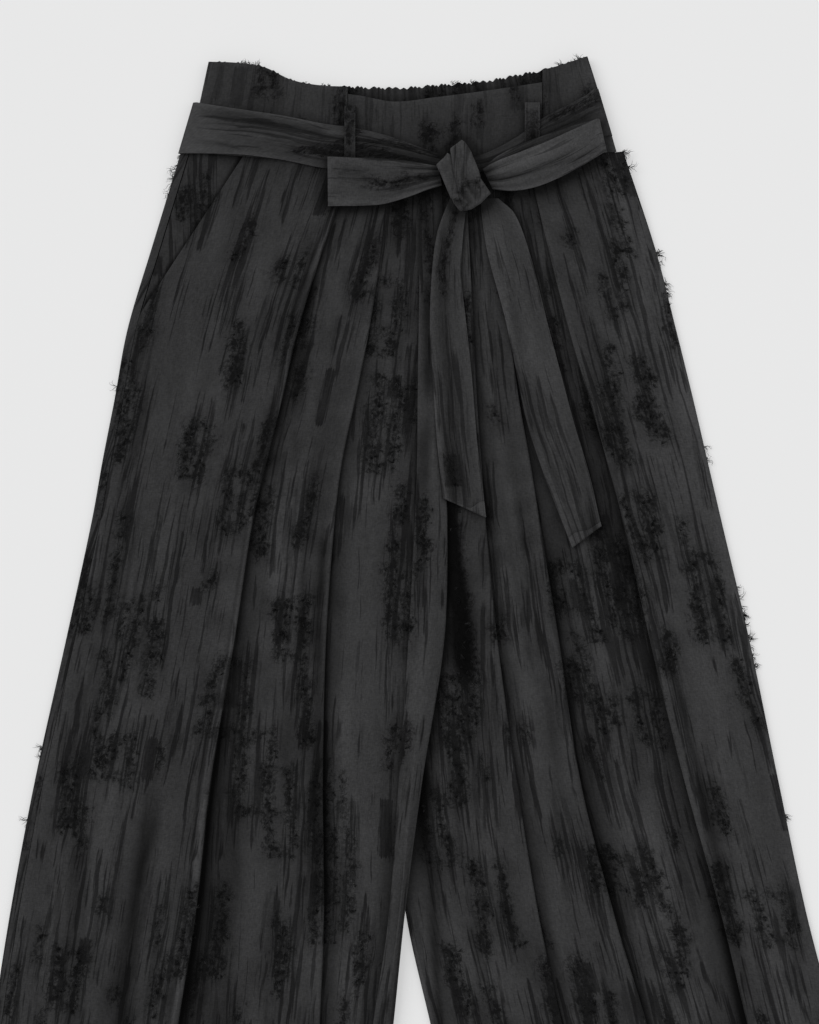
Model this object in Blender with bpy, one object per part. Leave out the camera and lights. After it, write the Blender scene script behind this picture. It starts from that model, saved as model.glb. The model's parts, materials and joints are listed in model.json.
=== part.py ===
"""Wide-leg hakama trousers with a sash tied in a bow, laid flat on their back.

+Z is up, away from the surface that the garment lies on, and +Y runs from the hems to the waist.
The origin is on that surface, in the middle of the garment. Each cut and sewn piece is one object.
The tables are in millimetres: "down" runs from the waist to the hem, "across" from the garment's
middle to the right of the picture plane, "height" up from the surface.
"""

from math import cos, exp, pi, radians, sin

import bmesh
import bpy
from mathutils import Vector
from mathutils.bvhtree import BVHTree

# ---------------------------------------------------------------- driving sizes, in millimetres
MM = 0.001
WAIST_TO_MIDDLE = 491.1  # from the waist corner down to the origin
MIDDLE_TO_ORIGIN = 1.75  # the tables' zero lies this far to the right of the origin
HEM_OUTER = 955.0  # down to the hem at the side seams
HEM_INNER = 984.0  # down to the hem at the inseams
HEM_SAG = 10.0  # the hem's curve between them
WAIST_SEAM = 96.0  # down to the seam between waistband and legs, at the centre front
WAIST_SEAM_RISE = 10.0  # how far that seam climbs to the sides
WAIST_SEAM_MIDDLE = -15.0
WAIST_SEAM_HALF = 201.0

CLOTH = 1.0  # wall of the leg panels
FACING = 0.9
BAND = 1.8  # front waistband, two layers and interfacing
CASING = 2.2  # back waistband, a casing with elastic in it
SASH = 1.6  # the sash is sewn double
LOOP = 1.2  # belt loops
SEAM_GAP = 0.3  # between pieces that are sewn together
TOP_GAP = 0.6  # the panels' own edges at the waist seam, which tilt a little

PITCH = 1.35  # from one layer of a pleat to the next, where it is pressed flat at the waist
SIDE_SEAM_IN = 7.4  # the left side seam lies this far in from the side, on top
UNDER_WRAP = 24.0  # the right side seam lies this far in from the side, underneath
INSEAM_UNDER = 3.0  # the fronts turn under this far at the inseams
POCKET_TOP = (-164.0, 91.0)  # slanted pocket mouth, across and down
POCKET_FOOT = (-262.0, 240.0)
FACING_GAP = 0.9  # the facing's edges follow the curved seams in short straight runs
FACING_ENDS = {"left": 17.0, "right": 22.0}  # above the foot of the pocket mouth
POCKET_LAP = 12.0  # the facing runs on under the pocket mouth

RIGHT, LEFT = 1, -1

# ---------------------------------------------------------------- outlines and folds
# Across, for each line of the garment, at eleven places down it.
DOWN = (93, 177, 251, 316, 372, 428, 539, 670, 793, 897, 985)
ACROSS = {
    "left_side": (-223, -249, -271, -283, -294, -304, -328, -357, -380, -396, -407),
    "right_side": (191, 219, 238, 254, 267, 280, 306, 333, 359, 386, 407),
    "left_front_inner": (19, 24, 28.4, 31, 38, 42, 30, 5, -12.6, -24, -35),
    "right_front_inner": (19.4, 24.4, 28.8, 31.4, 14, -8, -24.6, -26.5, -12.6, 10.7, 31),
    "left_back_inner": (-20, -11, -0.5, 8.6, 26, 36, 24, -1, -19, -30, -41),
    "right_back_inner": (-19.6, -10.6, -0.1, 9, 20, -2, -18.6, -20.5, -6.6, 16.7, 37),
    "outer_pleat_left": (-60, -92, -118, -132, -143, -155, -172, -194, -208, -220, -231),
    "middle_pleat_left": (-29, -36, -47, -60, -72, -79, -87, -90, -89, -93, -97),
    "inner_pleat_left": (1.4, 0.5, -0.5, -1.4, -2, -4, -10, -19, -28, -43, -54),
    "inner_pleat_right": (42, 46, 50, 53, 57, 61, 74, 94, 113, 132, 150),
    "middle_pleat_right": (66, 75, 83, 92, 102, 111, 129, 149, 180, 211, 234),
    "outer_pleat_right": (100, 120, 139, 158, 174, 189, 214, 246, 280, 305, 329),
}

# Knife pleats: the line, the way its edge faces, its depth at the waist and at the hem,
# and the pitch of its layers at the hem, where it opens.
PLEATS = {
    "front_left": (
        ("outer_pleat_left", RIGHT, 26, 22, 3.0),
        ("middle_pleat_left", RIGHT, 14, 12, 2.4),
        ("inner_pleat_left", LEFT, 9, 7, 1.7),
    ),
    "front_right": (
        ("inner_pleat_right", RIGHT, 11, 12, 1.7),
        ("middle_pleat_right", RIGHT, 12, 14, 2.6),
        ("outer_pleat_right", LEFT, 26, 22, 3.4),
    ),
}
PLEATS_OPEN = 1.4  # how soon down the leg the pleats are fully open
FREE_COLUMNS = {"front_left": (9, 6, 3, 2), "front_right": (5, 4, 4, 4)}

# Soft folds: panel, down from and to, across at the start, middle and end, height,
# and the reach of its left and right slope.
SOFT_FOLDS = {
    "ridge_by_outer_pleat": ("front_left", 130, 640, -88, -105, -122, 2.5, 9, 5),
    "left_edge_ridge": ("front_left", 760, 1100, -342, -346, -352, 3.0, 8, 8),
    "left_valley": ("front_left", 650, 1100, -312, -316, -322, -3.5, 9, 9),
    "left_deep_valley": ("front_left", 640, 1100, -236, -262, -276, -5.0, 14, 12),
    "left_middle_ridge": ("front_left", 500, 1000, -150, -165, -172, 3.0, 14, 18),
    "ridge_over_thigh": ("front_left", 330, 900, -45, -50, -60, 3.5, 18, 18),
    "inseam_ridge": ("front_right", 560, 1100, -2, 8, 26, 3.5, 9, 4),
    "bloom_inner": ("front_right", 380, 1100, 84, 120, 172, 3.0, 16, 12),
    "thigh_ridge": ("front_right", 240, 760, 112, 164, 206, 4.5, 18, 5),
    "crease_by_outer_pleat": ("front_right", 470, 900, 204, 252, 300, -2.5, 5, 5),
    "right_highlight_ridge": ("front_right", 590, 1100, 272, 300, 352, 3.5, 10, 12),
}
SOFT_FADE = 70.0
BILLOW = 4.6  # loft of the cloth between two folds
BILLOW_FROM, BILLOW_FULL = 150.0, 420.0

# Heights of the cloth's middle, at the waist seam and on the legs.
BACK_AT_WAIST, BACK_ON_LEG, BACK_SETTLES = 4.8, CLOTH / 2, 175.0
FRONT_AT_WAIST, FRONT_ON_LEG, FRONT_SETTLES = 7.7, 2.2, 330.0
ROLL_AT_WAIST, ROLL_ON_LEG = 1.5, 2.0  # radius of the fold at a side
LEG_TOP = 93.0
EDGE_REACH = 25.0  # how far a rolled edge keeps the front up
OVER_HEIGHT, OVER_FROM, OVER_FULL = 6.0, 265.0, 350.0  # the left leg lies on the right one
OVER_AHEAD, OVER_RAMP = 90.0, 82.0
COVER_REACH = 24.0  # the right leg lies flatter under the left one, and this far beyond it
ROLL_FROM, ROLL_FULL = 335.0, 430.0  # where the inseams' rounded edges begin

# Waist, in pairs or rows of across and down.
CASING_TOP = (
    (-195, 3), (-169, 4), (-144, 8), (-118, 20), (-90, 25), (-62, 26), (-20, 27),
    (22, 24), (59, 21), (96, 14), (124, 8), (155, -2),
)
FRONT_BAND_TOP = ((-66, 33), (-52, 35), (-23, 40), (14, 36), (61, 30), (114, 22))
CASING_SIDES = {"left": (-195, -213), "right": (155, 182)}  # at the top and at the seam
BAND_SEAMS = {"left": -66.5, "right": 114.0}
GATHERS = 22
GATHER_HEIGHT = 1.0
GATHER_FRILL = 1.6
SIDE_WAVE = 0.25
BACK_GATHERS = 7  # in each back panel, below the casing
GATHER_MARGIN, GATHER_START = 72.0, 24.0  # the back lies smooth near the side seam
BACK_GATHER_HEIGHT = 1.5
BACK_GATHER_ENDS = 330.0
CASING_HEIGHT = 5.6
BAND_HEIGHT = 9.35

# Sash round the waist: across, down to its middle, width.
SASH_FRONT_LEFT = (
    (30, 99, 14), (12, 95, 17), (-14, 89, 24), (-38, 85, 31), (-64, 83, 38),
    (-90, 81, 41), (-125, 74, 41), (-160, 69, 41), (-190, 65, 42),
)
SASH_FRONT_RIGHT = ((155, 55, 42), (140, 62, 40), (115, 72, 34), (90, 86, 26), (66, 95, 18), (48, 99, 14))
SASH_BACK_DOWN = (64, 62, 60, 58, 56, 54)
SASH_ENDS_DOWN = {"left": 62, "right": 49}
SASH_FRONT_HEIGHT = 12.0
SASH_BACK_HEIGHT = 2.3
SASH_BEYOND = 4.6  # how far its folds stand out past the casing's

# Bow loops: across and down of the top edge, then of the bottom edge, height of the upper layer.
LOOP_LEFT = (
    (17, 99.5, 20.5, 116.5, 18.4), (5, 97.8, 7, 121, 19.8), (-11, 96, -11, 128, 21.2),
    (-34, 94, -34, 134.5, 21.8), (-58, 92, -58, 136, 21.2), (-82.5, 90.4, -82, 136, 19.8),
)
LOOP_RIGHT = (
    (58.5, 102, 67.5, 120, 18.4), (71, 95, 86, 122, 20.0), (93, 86.5, 106, 119, 21.6),
    (116, 77.5, 126, 111.5, 22.2), (139, 67, 149, 99.5, 21.6), (163.5, 55.5, 170.5, 86.5, 20.2),
)
LOOP_UNDER_HEIGHT = 15.8
LOOP_UNDER_SHIFT = {"left": -2.0, "right": -8.0}  # the hidden layer shows above the other
LOOP_SHARES = (0, 0.25, 0.5, 0.75, 1)
LOOP_CROWN = 1.6

# Knot: down, across of its middle, half width, half height.
KNOT = (
    (76, 38, 5, 3.2), (80, 38.5, 9, 5.0), (88, 37, 14.5, 6.6), (97, 37, 18, 7.8),
    (107, 39.5, 20, 8.3), (117, 43.5, 21, 8.2), (126, 45, 19, 7.4), (134, 42.5, 14, 6.2),
    (140, 40, 8, 3.8),
)
KNOT_MIDDLE = 21.9
KNOT_SIDES = 16
KNOT_SQUARE = 0.75  # below 1, its section is squarer than an ellipse

# Tails: down, across of the left and of the right edge. The last row is the cut end.
TAIL_LEFT = (
    (128, 29, 44), (140, 24, 43), (162, 16.5, 40.5), (200, 11.6, 38.5), (251, 9.8, 44),
    (300, 12.6, 49), (356, 16.3, 53.5), (398, 20.9, 58.5),
)
TAIL_LEFT_END = (406, 424)  # down to the end of the left and of the right edge
TAIL_RIGHT = (
    (130, 57, 73), (144, 57.5, 88), (180, 63, 102), (238, 78.6, 117), (289, 89.7, 130),
    (337, 100, 142.8), (384, 115, 157), (418, 128, 165),
)
TAIL_RIGHT_END = (452, 432)
TAIL_ROW_LENGTH = 14.0
TAIL_COLUMNS = 5
TAIL_START_HEIGHT = 12.4
TAIL_GAP = 0.5
TAIL_SETTLES = 45.0  # length over which a tail comes down from the knot

# Belt loops: across, down from and to, width, and whether on the back.
BELT_LOOPS = {
    "belt_loop_front_left": (-64.5, 44, 113, 10, False),
    "belt_loop_front_right": (104.5, 41, 106, 14, False),
    "belt_loop_back_left": (-92, 30, 90, 11, True),
    "belt_loop_back_right": (58, 26, 88, 11, True),
}
LOOP_OVER_SASH = 13.9
LOOP_UNDER_SASH = LOOP / 2
LOOP_FOOT_FRONT = 11.8
LOOP_FOOT_BACK = 2.5
LOOP_BEND = 7.0

LEG_ROWS = 17
ROW_CROWDING = 1.35  # rows lie closer together towards the waist
BACK_COLUMNS = 21
ARC_STEPS = 2
ROLL_STEPS = 4
LEAST_BEND, LEAST_RUN = 0.2, 0.4  # of a half turn, and in millimetres

# ---------------------------------------------------------------- small helpers


def lerp(a, b, share):
    return a + (b - a) * share


def ease(share):
    """0 to 1 with flat ends."""
    share = max(0.0, min(1.0, share))
    return share * share * (3 - 2 * share)


class Curve:
    """A smooth line through a short table of places and values."""

    def __init__(self, places, values):
        self.places, self.values = tuple(places), tuple(values)
        last = len(self.places) - 1
        self.slopes = []
        for i in range(last + 1):
            low, high = max(0, i - 1), min(last, i + 1)
            rise = self.values[high] - self.values[low]
            self.slopes.append(rise / (self.places[high] - self.places[low]))

    def __call__(self, place):
        if place <= self.places[0]:
            return self.values[0] + self.slopes[0] * (place - self.places[0])
        if place >= self.places[-1]:
            return self.values[-1] + self.slopes[-1] * (place - self.places[-1])
        i = max(k for k, known in enumerate(self.places[:-1]) if known <= place)
        span = self.places[i + 1] - self.places[i]
        t = (place - self.places[i]) / span
        return (
            self.values[i] * (2 * t**3 - 3 * t**2 + 1)
            + self.slopes[i] * span * (t**3 - 2 * t**2 + t)
            + self.values[i + 1] * (3 * t**2 - 2 * t**3)
            + self.slopes[i + 1] * span * (t**3 - t**2)
        )


LINES = {name: Curve(DOWN, values) for name, values in ACROSS.items()}


def point(across, down, height):
    return Vector((across + MIDDLE_TO_ORIGIN, WAIST_TO_MIDDLE - down, height))


def make_material(name, colour, roughness):
    material = bpy.data.materials.new(name)
    material.use_nodes = True
    shader = material.node_tree.nodes["Principled BSDF"]
    shader.inputs["Base Color"].default_value = (*colour, 1)
    shader.inputs["Roughness"].default_value = roughness
    return material


def wall(name, rows, thickness, material):
    """A cloth wall: its middle surface through rows of points, thickened to both sides."""
    bm = bmesh.new()
    grid = [[bm.verts.new(spot * MM) for spot in row] for row in rows]
    for near, far in zip(grid, grid[1:]):
        for a, b, c, d in zip(near, near[1:], far[1:], far):
            bm.faces.new((a, b, c, d))
    mesh = bpy.data.meshes.new(name)
    bm.to_mesh(mesh)
    bm.free()
    mesh.shade_smooth()
    mesh.set_sharp_from_angle(angle=radians(50))
    piece = bpy.data.objects.new(name, mesh)
    bpy.context.collection.objects.link(piece)
    mesh.materials.append(material)
    solidify = piece.modifiers.new("thickness", "SOLIDIFY")
    solidify.thickness = thickness * MM
    solidify.offset = 0
    return piece


# ---------------------------------------------------------------- how high the cloth lies


def settle(at_waist, on_leg, settles, down):
    return lerp(at_waist, on_leg, ease((down - LEG_TOP) / (settles - LEG_TOP)))


def back_height(down):
    return settle(BACK_AT_WAIST, BACK_ON_LEG, BACK_SETTLES, down)


def roll_radius(down):
    return settle(ROLL_AT_WAIST, ROLL_ON_LEG, BACK_SETTLES, down)


def over_height(across, down):
    """How far the left leg is lifted where it lies on the right one."""
    right_leg = min(LINES["right_front_inner"](down), LINES["right_back_inner"](down))
    raised = OVER_HEIGHT * ease((down - OVER_FROM) / (OVER_FULL - OVER_FROM))
    return raised * ease((across - right_leg + OVER_AHEAD) / OVER_RAMP)


def soft_folds(panel, across, down):
    height = 0.0
    for on, start, end, first, middle, last, tall, left, right in SOFT_FOLDS.values():
        if on != panel or not start < down < end:
            continue
        share = (down - start) / (end - start)
        line = lerp(lerp(first, middle, share), lerp(middle, last, share), share)
        reach = left if across < line else right
        fade = ease((down - start) / SOFT_FADE) * ease((end - down) / SOFT_FADE)
        height += tall * fade * exp(-(((across - line) / reach) ** 2))
    return height


def turned(down):
    """How far the inseams' edges are turned under: not at all on the centre seam."""
    return ease((down - ROLL_FROM) / (ROLL_FULL - ROLL_FROM))


def front_ground(panel, across, down, loft=0.0):
    """Height of the front's lowest layer; loft is the share of its billow between two folds."""
    low = settle(FRONT_AT_WAIST, FRONT_ON_LEG, FRONT_SETTLES, down)
    edge = back_height(down) + 2 * roll_radius(down)
    if panel == "front_left":
        outer = across - LINES["left_side"](down)
        inner = LINES["left_front_inner"](down) - across
    else:
        outer = LINES["right_side"](down) - across
        inner = across - LINES["right_front_inner"](down)
    at_inner = (1 - ease(inner / EDGE_REACH)) * min(1, 4 * turned(down))
    near_edge = max(1 - ease(outer / EDGE_REACH), at_inner)
    full = ease((down - BILLOW_FROM) / (BILLOW_FULL - BILLOW_FROM))
    shape = BILLOW * full * loft + soft_folds(panel, across, down) * min(1.0, 3 * loft)
    if panel == "front_right":
        shape *= ease((across - LINES["left_front_inner"](down)) / COVER_REACH)
    height = lerp(low, max(low, edge), near_edge) + max(0.0, shape)
    if panel == "front_left":
        height += over_height(across, down)
    return height


# ---------------------------------------------------------------- sections of the leg panels


def seam_down(across):
    off = (across - WAIST_SEAM_MIDDLE) / WAIST_SEAM_HALF
    return WAIST_SEAM - WAIST_SEAM_RISE * off * off


def hem_down(across):
    """The hem's place under a point: highest at the side seams, with a sag in each leg."""
    side = "left" if across < 0 else "right"
    outer, inner = LINES[side + "_side"](DOWN[-1]), LINES[side + "_front_inner"](DOWN[-1])
    share = (across - outer) / (inner - outer)
    return lerp(HEM_OUTER, HEM_INNER, share) + HEM_SAG * 4 * share * (1 - share)


def station(line, share, beside=0.0):
    """Across and down of a line of the garment, at a share of the leg's length."""
    start = seam_down(line(DOWN[0])) + TOP_GAP
    end = hem_down(line(DOWN[-1]))
    down = lerp(start, end, share)
    return line(down) + beside, down


def arc(across, height, start, end, radius, steps=ARC_STEPS):
    for i in range(steps + 1):
        angle = radians(lerp(start, end, i / steps))
        yield across + radius * cos(angle), height + radius * sin(angle)


def pleat_layers(edge, faces, depth, pitch):
    """One knife pleat's section, from left to right: the flap, its return and what it lies on."""
    turn = pitch / 2
    if faces == RIGHT:
        yield edge - depth - 1.5, 2 * pitch
        yield from arc(edge - turn, 3 * turn, 90, -90, turn)
        yield from arc(edge - depth + turn, turn, 90, 270, turn)
        yield edge + 1.5, 0
    else:
        yield edge - 1.5, 0
        yield from arc(edge + depth - turn, turn, -90, 90, turn)
        yield from arc(edge + turn, 3 * turn, 270, 90, turn)
        yield edge + depth + 1.5, 2 * pitch


def roll(edge, height, outward, radius, run, share=1.0, rise=-1):
    """A rounded edge, from the panel to its end: bent by share of a half turn, then a straight run.

    It bends down, or up with rise 1, and its outermost point is at edge.
    """
    share = max(share, LEAST_BEND)
    bend, run = pi * share, max(LEAST_RUN, run * share**6)
    reach = radius if share > 0.5 else radius * sin(bend) + run * cos(bend)
    start = edge - outward * reach
    for i in range(ROLL_STEPS + 1):
        angle = bend * i / ROLL_STEPS
        yield start + outward * radius * sin(angle), height + rise * radius * (1 - cos(angle))
    last = start + outward * (radius * sin(bend) + run * cos(bend))
    yield last, height + rise * (radius * (1 - cos(bend)) + run * sin(bend))


def pocket_mouth(down):
    share = (down - POCKET_TOP[1]) / (POCKET_FOOT[1] - POCKET_TOP[1])
    return lerp(POCKET_TOP[0], POCKET_FOOT[0], share)


def left_outer_edge(down):
    return max(LINES["left_side"](down) + SIDE_SEAM_IN + SEAM_GAP, pocket_mouth(down))


def under_wrap(down):
    """How far the right front runs on underneath; less along the right pocket's mouth."""
    share = (down - POCKET_TOP[1]) / (POCKET_FOOT[1] - POCKET_TOP[1])
    return lerp(UNDER_WRAP * 0.35, UNDER_WRAP, min(1.0, share))


def between(start, end, part, share):
    """A place between two places of one row, which bows like the waist seam and the hem."""
    side = "left" if start[0] + end[0] < 2 * LINES["left_front_inner"](start[1]) else "right"
    leg = LINES[side + "_side"](DOWN[-1]) - LINES[side + "_front_inner"](DOWN[-1])
    bow = lerp(WAIST_SEAM_RISE / WAIST_SEAM_HALF**2, 4 * HEM_SAG / leg**2, share)
    bow *= (end[0] - start[0]) ** 2 * part * (1 - part)
    return lerp(start[0], end[0], part), lerp(start[1], end[1], part) + bow


def free_run(panel, start, end, levels, columns, share):
    """Points between two folds: from one layer's level to the other's, with a billow."""
    for i in range(columns + 1):
        part = i / columns
        across, down = between(start, end, part, share)
        height = front_ground(panel, across, down, sin(pi * part) ** 2)
        yield across, down, height + lerp(levels[0], levels[1], ease(part))


def laid_row(section, share):
    """A row of a panel; the first one follows the waist seam exactly."""
    if share == 0:
        section = [(across, seam_down(across) + TOP_GAP, height) for across, down, height in section]
    return [point(*spot) for spot in section]


def side_sign(side):
    """Which way the leg's inner edge faces: right on the left leg, left on the right leg."""
    return RIGHT if side == "left" else LEFT


def front_section(panel, share):
    side = panel.removeprefix("front_")
    inner, down = station(LINES[side + "_front_inner"], share, -side_sign(side) * SEAM_GAP / 2)
    height = front_ground(panel, inner, down)
    bend = roll(inner, height, side_sign(side), roll_radius(down), INSEAM_UNDER, turned(down))
    inner_roll = [(across, down, height) for across, height in bend]
    outer, down = station(LINES[side + "_side"], share)
    if side == "left":
        section, place = [], (left_outer_edge(down), down)
    else:
        section, place = inner_roll[:0:-1], inner_roll[0][:2]
    level = 0
    for (name, faces, *depths, hem_pitch), columns in zip(PLEATS[panel], FREE_COLUMNS[panel]):
        edge, pleat_down = station(LINES[name], share)
        pitch = lerp(PITCH, hem_pitch, ease(share * PLEATS_OPEN))
        layers = list(pleat_layers(edge, faces, lerp(*depths, share), pitch))
        levels = (level, 2 * pitch if faces == RIGHT else 0)
        reach = (layers[0][0] - 1.0, pleat_down)
        section += free_run(panel, place, reach, levels, columns, share)
        for across, height in layers:
            section.append((across, pleat_down, height + front_ground(panel, across, pleat_down)))
        place = (layers[-1][0] + 1.0, pleat_down)
        level = 0 if faces == RIGHT else 2 * pitch
    columns = FREE_COLUMNS[panel][-1]
    if side == "left":
        section += free_run(panel, place, inner_roll[0][:2], (level, 0), columns, share)
        section += inner_roll[1:]
    else:
        radius = roll_radius(down)
        height = back_height(down) + 2 * radius
        bend = roll(outer, height, RIGHT, radius, under_wrap(down) - radius)
        outer_roll = [(across, down, height) for across, height in bend]
        section += free_run(panel, place, outer_roll[0][:2], (level, 0), columns, share)
        section += outer_roll[1:]
    return laid_row(section, share)


def gather_wave(across, down, start, end):
    """The fullness under the elastic, which fades down the back; never below the surface."""
    fade = 1 - ease((down - LEG_TOP) / (BACK_GATHER_ENDS - LEG_TOP))
    fade *= ease((abs(across - end) - GATHER_MARGIN) / GATHER_START)
    wave = 0.5 - 0.5 * cos(2 * pi * BACK_GATHERS * (across - start) / (end - start))
    return BACK_GATHER_HEIGHT * fade * wave


def back_section(side, share):
    inner_down = station(LINES[side + "_front_inner"], share)[1]
    inner = LINES[side + "_back_inner"](inner_down) - side_sign(side) * SEAM_GAP / 2
    outer, down = station(LINES[side + "_side"], share)
    radius = roll_radius(down)
    edge_roll = []
    if side == "left":
        height = back_height(down) + over_height(outer, down)
        edge_roll = list(roll(outer, height, LEFT, radius, SIDE_SEAM_IN - radius, rise=1))
        outer = edge_roll[0][0]
    else:
        outer -= UNDER_WRAP + SEAM_GAP
    section = []
    for i in range(BACK_COLUMNS + 1):
        across, place = between((inner, inner_down), (outer, down), i / BACK_COLUMNS, share)
        height = back_height(place) + gather_wave(across, place, inner, outer)
        if side == "left":
            height += over_height(across, place)
        section.append((across, place, height))
    section += [(across, down, height) for across, height in edge_roll[1:]]
    return laid_row(section, share)


def leg_shares():
    return [(i / (LEG_ROWS - 1)) ** ROW_CROWDING for i in range(LEG_ROWS)]


# ---------------------------------------------------------------- pocket facings


def facing_rows(side, places):
    """A row of a facing for each row of its leg, down to just above the pocket's foot."""
    rows = []
    for share in leg_shares():
        down = station(LINES[side + "_side"], share)[1]
        if down < POCKET_FOOT[1] - FACING_ENDS[side]:
            rows.append(laid_row([(across, down, height) for across, height in places(down)], share))
    return rows


def left_facing(down):
    """From the side seam, flush with the wrapped back, down to under the front's pocket mouth."""
    seam = LINES["left_side"](down) + SIDE_SEAM_IN + FACING_GAP
    mouth = pocket_mouth(down)
    top = back_height(down) + 2 * roll_radius(down)
    for share in (0, 0.25, 0.5, 0.75, 1):
        across = lerp(seam, mouth - 1.5, share)
        under = front_ground("front_left", mouth, down) - CLOTH - SEAM_GAP
        yield across, lerp(top, under, ease(share))
    across = mouth + POCKET_LAP
    yield across, front_ground("front_left", across, down) - CLOTH - SEAM_GAP


def right_facing(down):
    """Underneath: from the seam, flush with the back, up to above the front's turned edge."""
    side, low = LINES["right_side"](down), back_height(down)
    seam, mouth = side - UNDER_WRAP + FACING_GAP, side - under_wrap(down)
    inside = low + CLOTH + SEAM_GAP
    for share in (0, 0.5, 1):
        yield lerp(seam, mouth - 1.5, share), lerp(low, inside, ease(share))
    yield min(mouth + 5, side - 3.5), inside


# ---------------------------------------------------------------- waistband


def band_path(top_curve, across_list, share):
    for across, height, frill in across_list:
        down = lerp(top_curve(across) + frill * (1 - share), seam_down(across), share)
        yield point(across, down, height)


def front_band_rows():
    top = Curve(*zip(*FRONT_BAND_TOP))
    first, last = BAND_SEAMS["left"] + SEAM_GAP, BAND_SEAMS["right"] - SEAM_GAP
    rows = []
    for share in (0, 0.33, 0.66, 1):
        run = []
        for i in range(17):
            across = lerp(first, last, i / 16)
            run.append((across, BAND_HEIGHT + 0.3 * sin(pi * share) * sin(pi * i / 4), 0))
        rows.append(list(band_path(top, run, share)))
    return rows


def casing_rows():
    """From the left band seam round the left side, across the back and round to the right one."""
    top = Curve(*zip(*CASING_TOP))
    rows = []
    for share in (0, 0.33, 0.66, 1):
        left = lerp(*CASING_SIDES["left"], share)
        right = lerp(*CASING_SIDES["right"], share)
        radius = (BAND_HEIGHT - CASING_HEIGHT) / 2
        middle = (BAND_HEIGHT + CASING_HEIGHT) / 2
        run = []
        for i in range(12):
            across = lerp(BAND_SEAMS["left"] - SEAM_GAP, left + radius, i / 12)
            run.append((across, BAND_HEIGHT + SIDE_WAVE * sin(2 * pi * i / 4) * sin(pi * i / 12), 0))
        for across, height in arc(left + radius, middle, 90, 270, radius, 4):
            run.append((across, height, 0))
        steps = GATHERS * 4
        for i in range(1, steps):
            across = lerp(left + radius, right - radius, i / steps)
            wave = sin(2 * pi * i / 4)
            run.append((across, CASING_HEIGHT + GATHER_HEIGHT * wave, GATHER_FRILL * wave))
        for across, height in arc(right - radius, middle, -90, 90, radius, 4):
            run.append((across, height, 0))
        for i in range(1, 5):
            across = lerp(right - radius, BAND_SEAMS["right"] + SEAM_GAP, i / 4)
            run.append((across, BAND_HEIGHT, 0))
        rows.append(list(band_path(top, run, share)))
    return rows


# ---------------------------------------------------------------- sash, bow and belt loops


def sash_rows():
    radius = (SASH_FRONT_HEIGHT - SASH_BACK_HEIGHT) / 2
    middle = (SASH_FRONT_HEIGHT + SASH_BACK_HEIGHT) / 2
    rows = []
    for share in (0, 0.33, 0.66, 1):
        row = []

        def add(across, down, height):
            row.append(point(across, down, height))

        def side_fold(side, outward, start, end):
            down = SASH_ENDS_DOWN[side] + 42 * (share - 0.5)
            casing = lerp(*CASING_SIDES[side], (down - 3) / 86)
            across = casing + outward * (SASH_BEYOND - radius)
            for x, height in arc(across, middle, start, end, radius, 5):
                add(x, down, height)

        for across, down, width in SASH_FRONT_LEFT:
            ripple = 0.35 * cos(2 * pi * share) * (width < 30)
            add(across, down + width * (share - 0.5), SASH_FRONT_HEIGHT + ripple)
        side_fold("left", LEFT, 90, 270)
        for i, down in enumerate(SASH_BACK_DOWN):
            across = lerp(-180, 142, i / (len(SASH_BACK_DOWN) - 1))
            add(across, down + 42 * (share - 0.5), SASH_BACK_HEIGHT)
        side_fold("right", RIGHT, -90, 90)
        for across, down, width in SASH_FRONT_RIGHT:
            add(across, down + width * (share - 0.5), SASH_FRONT_HEIGHT)
        rows.append(row)
    return rows


def bow_loop_rows(side, table):
    """A strip from the knot out along the lower layer, round its end and back on the upper one."""
    outward, shift = (LEFT if side == "left" else RIGHT), LOOP_UNDER_SHIFT[side]
    last = len(table) - 1
    rows = []
    for share in LOOP_SHARES:
        spots = [(lerp(x0, x1, share), lerp(y0, y1, share), top) for x0, y0, x1, y1, top in table]
        row = []
        for i, (across, down, top) in enumerate(spots):
            hidden = down + shift * sin(pi * i / last)
            row.append(point(across, hidden, LOOP_UNDER_HEIGHT))
        across, down, top = spots[-1]
        radius = (top - LOOP_UNDER_HEIGHT) / 2
        bend = list(arc(0, LOOP_UNDER_HEIGHT + radius, -90, 90, radius, 4))
        row += [point(across + outward * x, down, height) for x, height in bend[1:-1]]
        for i, (across, down, top) in reversed(list(enumerate(spots))):
            crown = LOOP_CROWN * sin(pi * share) * sin(pi * i / last)
            row.append(point(across, down, top + crown))
        rows.append(row)
    return rows


def knot(material):
    """A closed, squarish roll of cloth, through rings, with a rounded cap at each end."""
    bm = bmesh.new()
    rings = []
    for down, across, half_width, half_height in KNOT:
        ring = []
        for i in range(KNOT_SIDES):
            angle = 2 * pi * i / KNOT_SIDES
            c, s = cos(angle), sin(angle)
            x = half_width * abs(c) ** KNOT_SQUARE * (1 if c > 0 else -1)
            z = half_height * abs(s) ** KNOT_SQUARE * (1 if s > 0 else -1)
            ring.append(bm.verts.new(point(across + x, down, KNOT_MIDDLE + z) * MM))
        rings.append(ring)
    for near, far in zip(rings, rings[1:]):
        for i in range(KNOT_SIDES):
            k = (i + 1) % KNOT_SIDES
            bm.faces.new((near[i], near[k], far[k], far[i]))
    bm.faces.new(rings[0])
    bm.faces.new(rings[-1])
    bmesh.ops.recalc_face_normals(bm, faces=bm.faces)
    mesh = bpy.data.meshes.new("bow_knot")
    bm.to_mesh(mesh)
    bm.free()
    mesh.shade_smooth()
    mesh.set_sharp_from_angle(angle=radians(60))
    mesh.materials.append(material)
    piece = bpy.data.objects.new("bow_knot", mesh)
    bpy.context.collection.objects.link(piece)


def surface_tree(names):
    """What lies under the tails: the tops of the named pieces, for rays from above."""
    bpy.context.view_layer.update()
    scene = bpy.context.evaluated_depsgraph_get()
    return [BVHTree.FromObject(bpy.data.objects[name], scene) for name in names]


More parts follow.
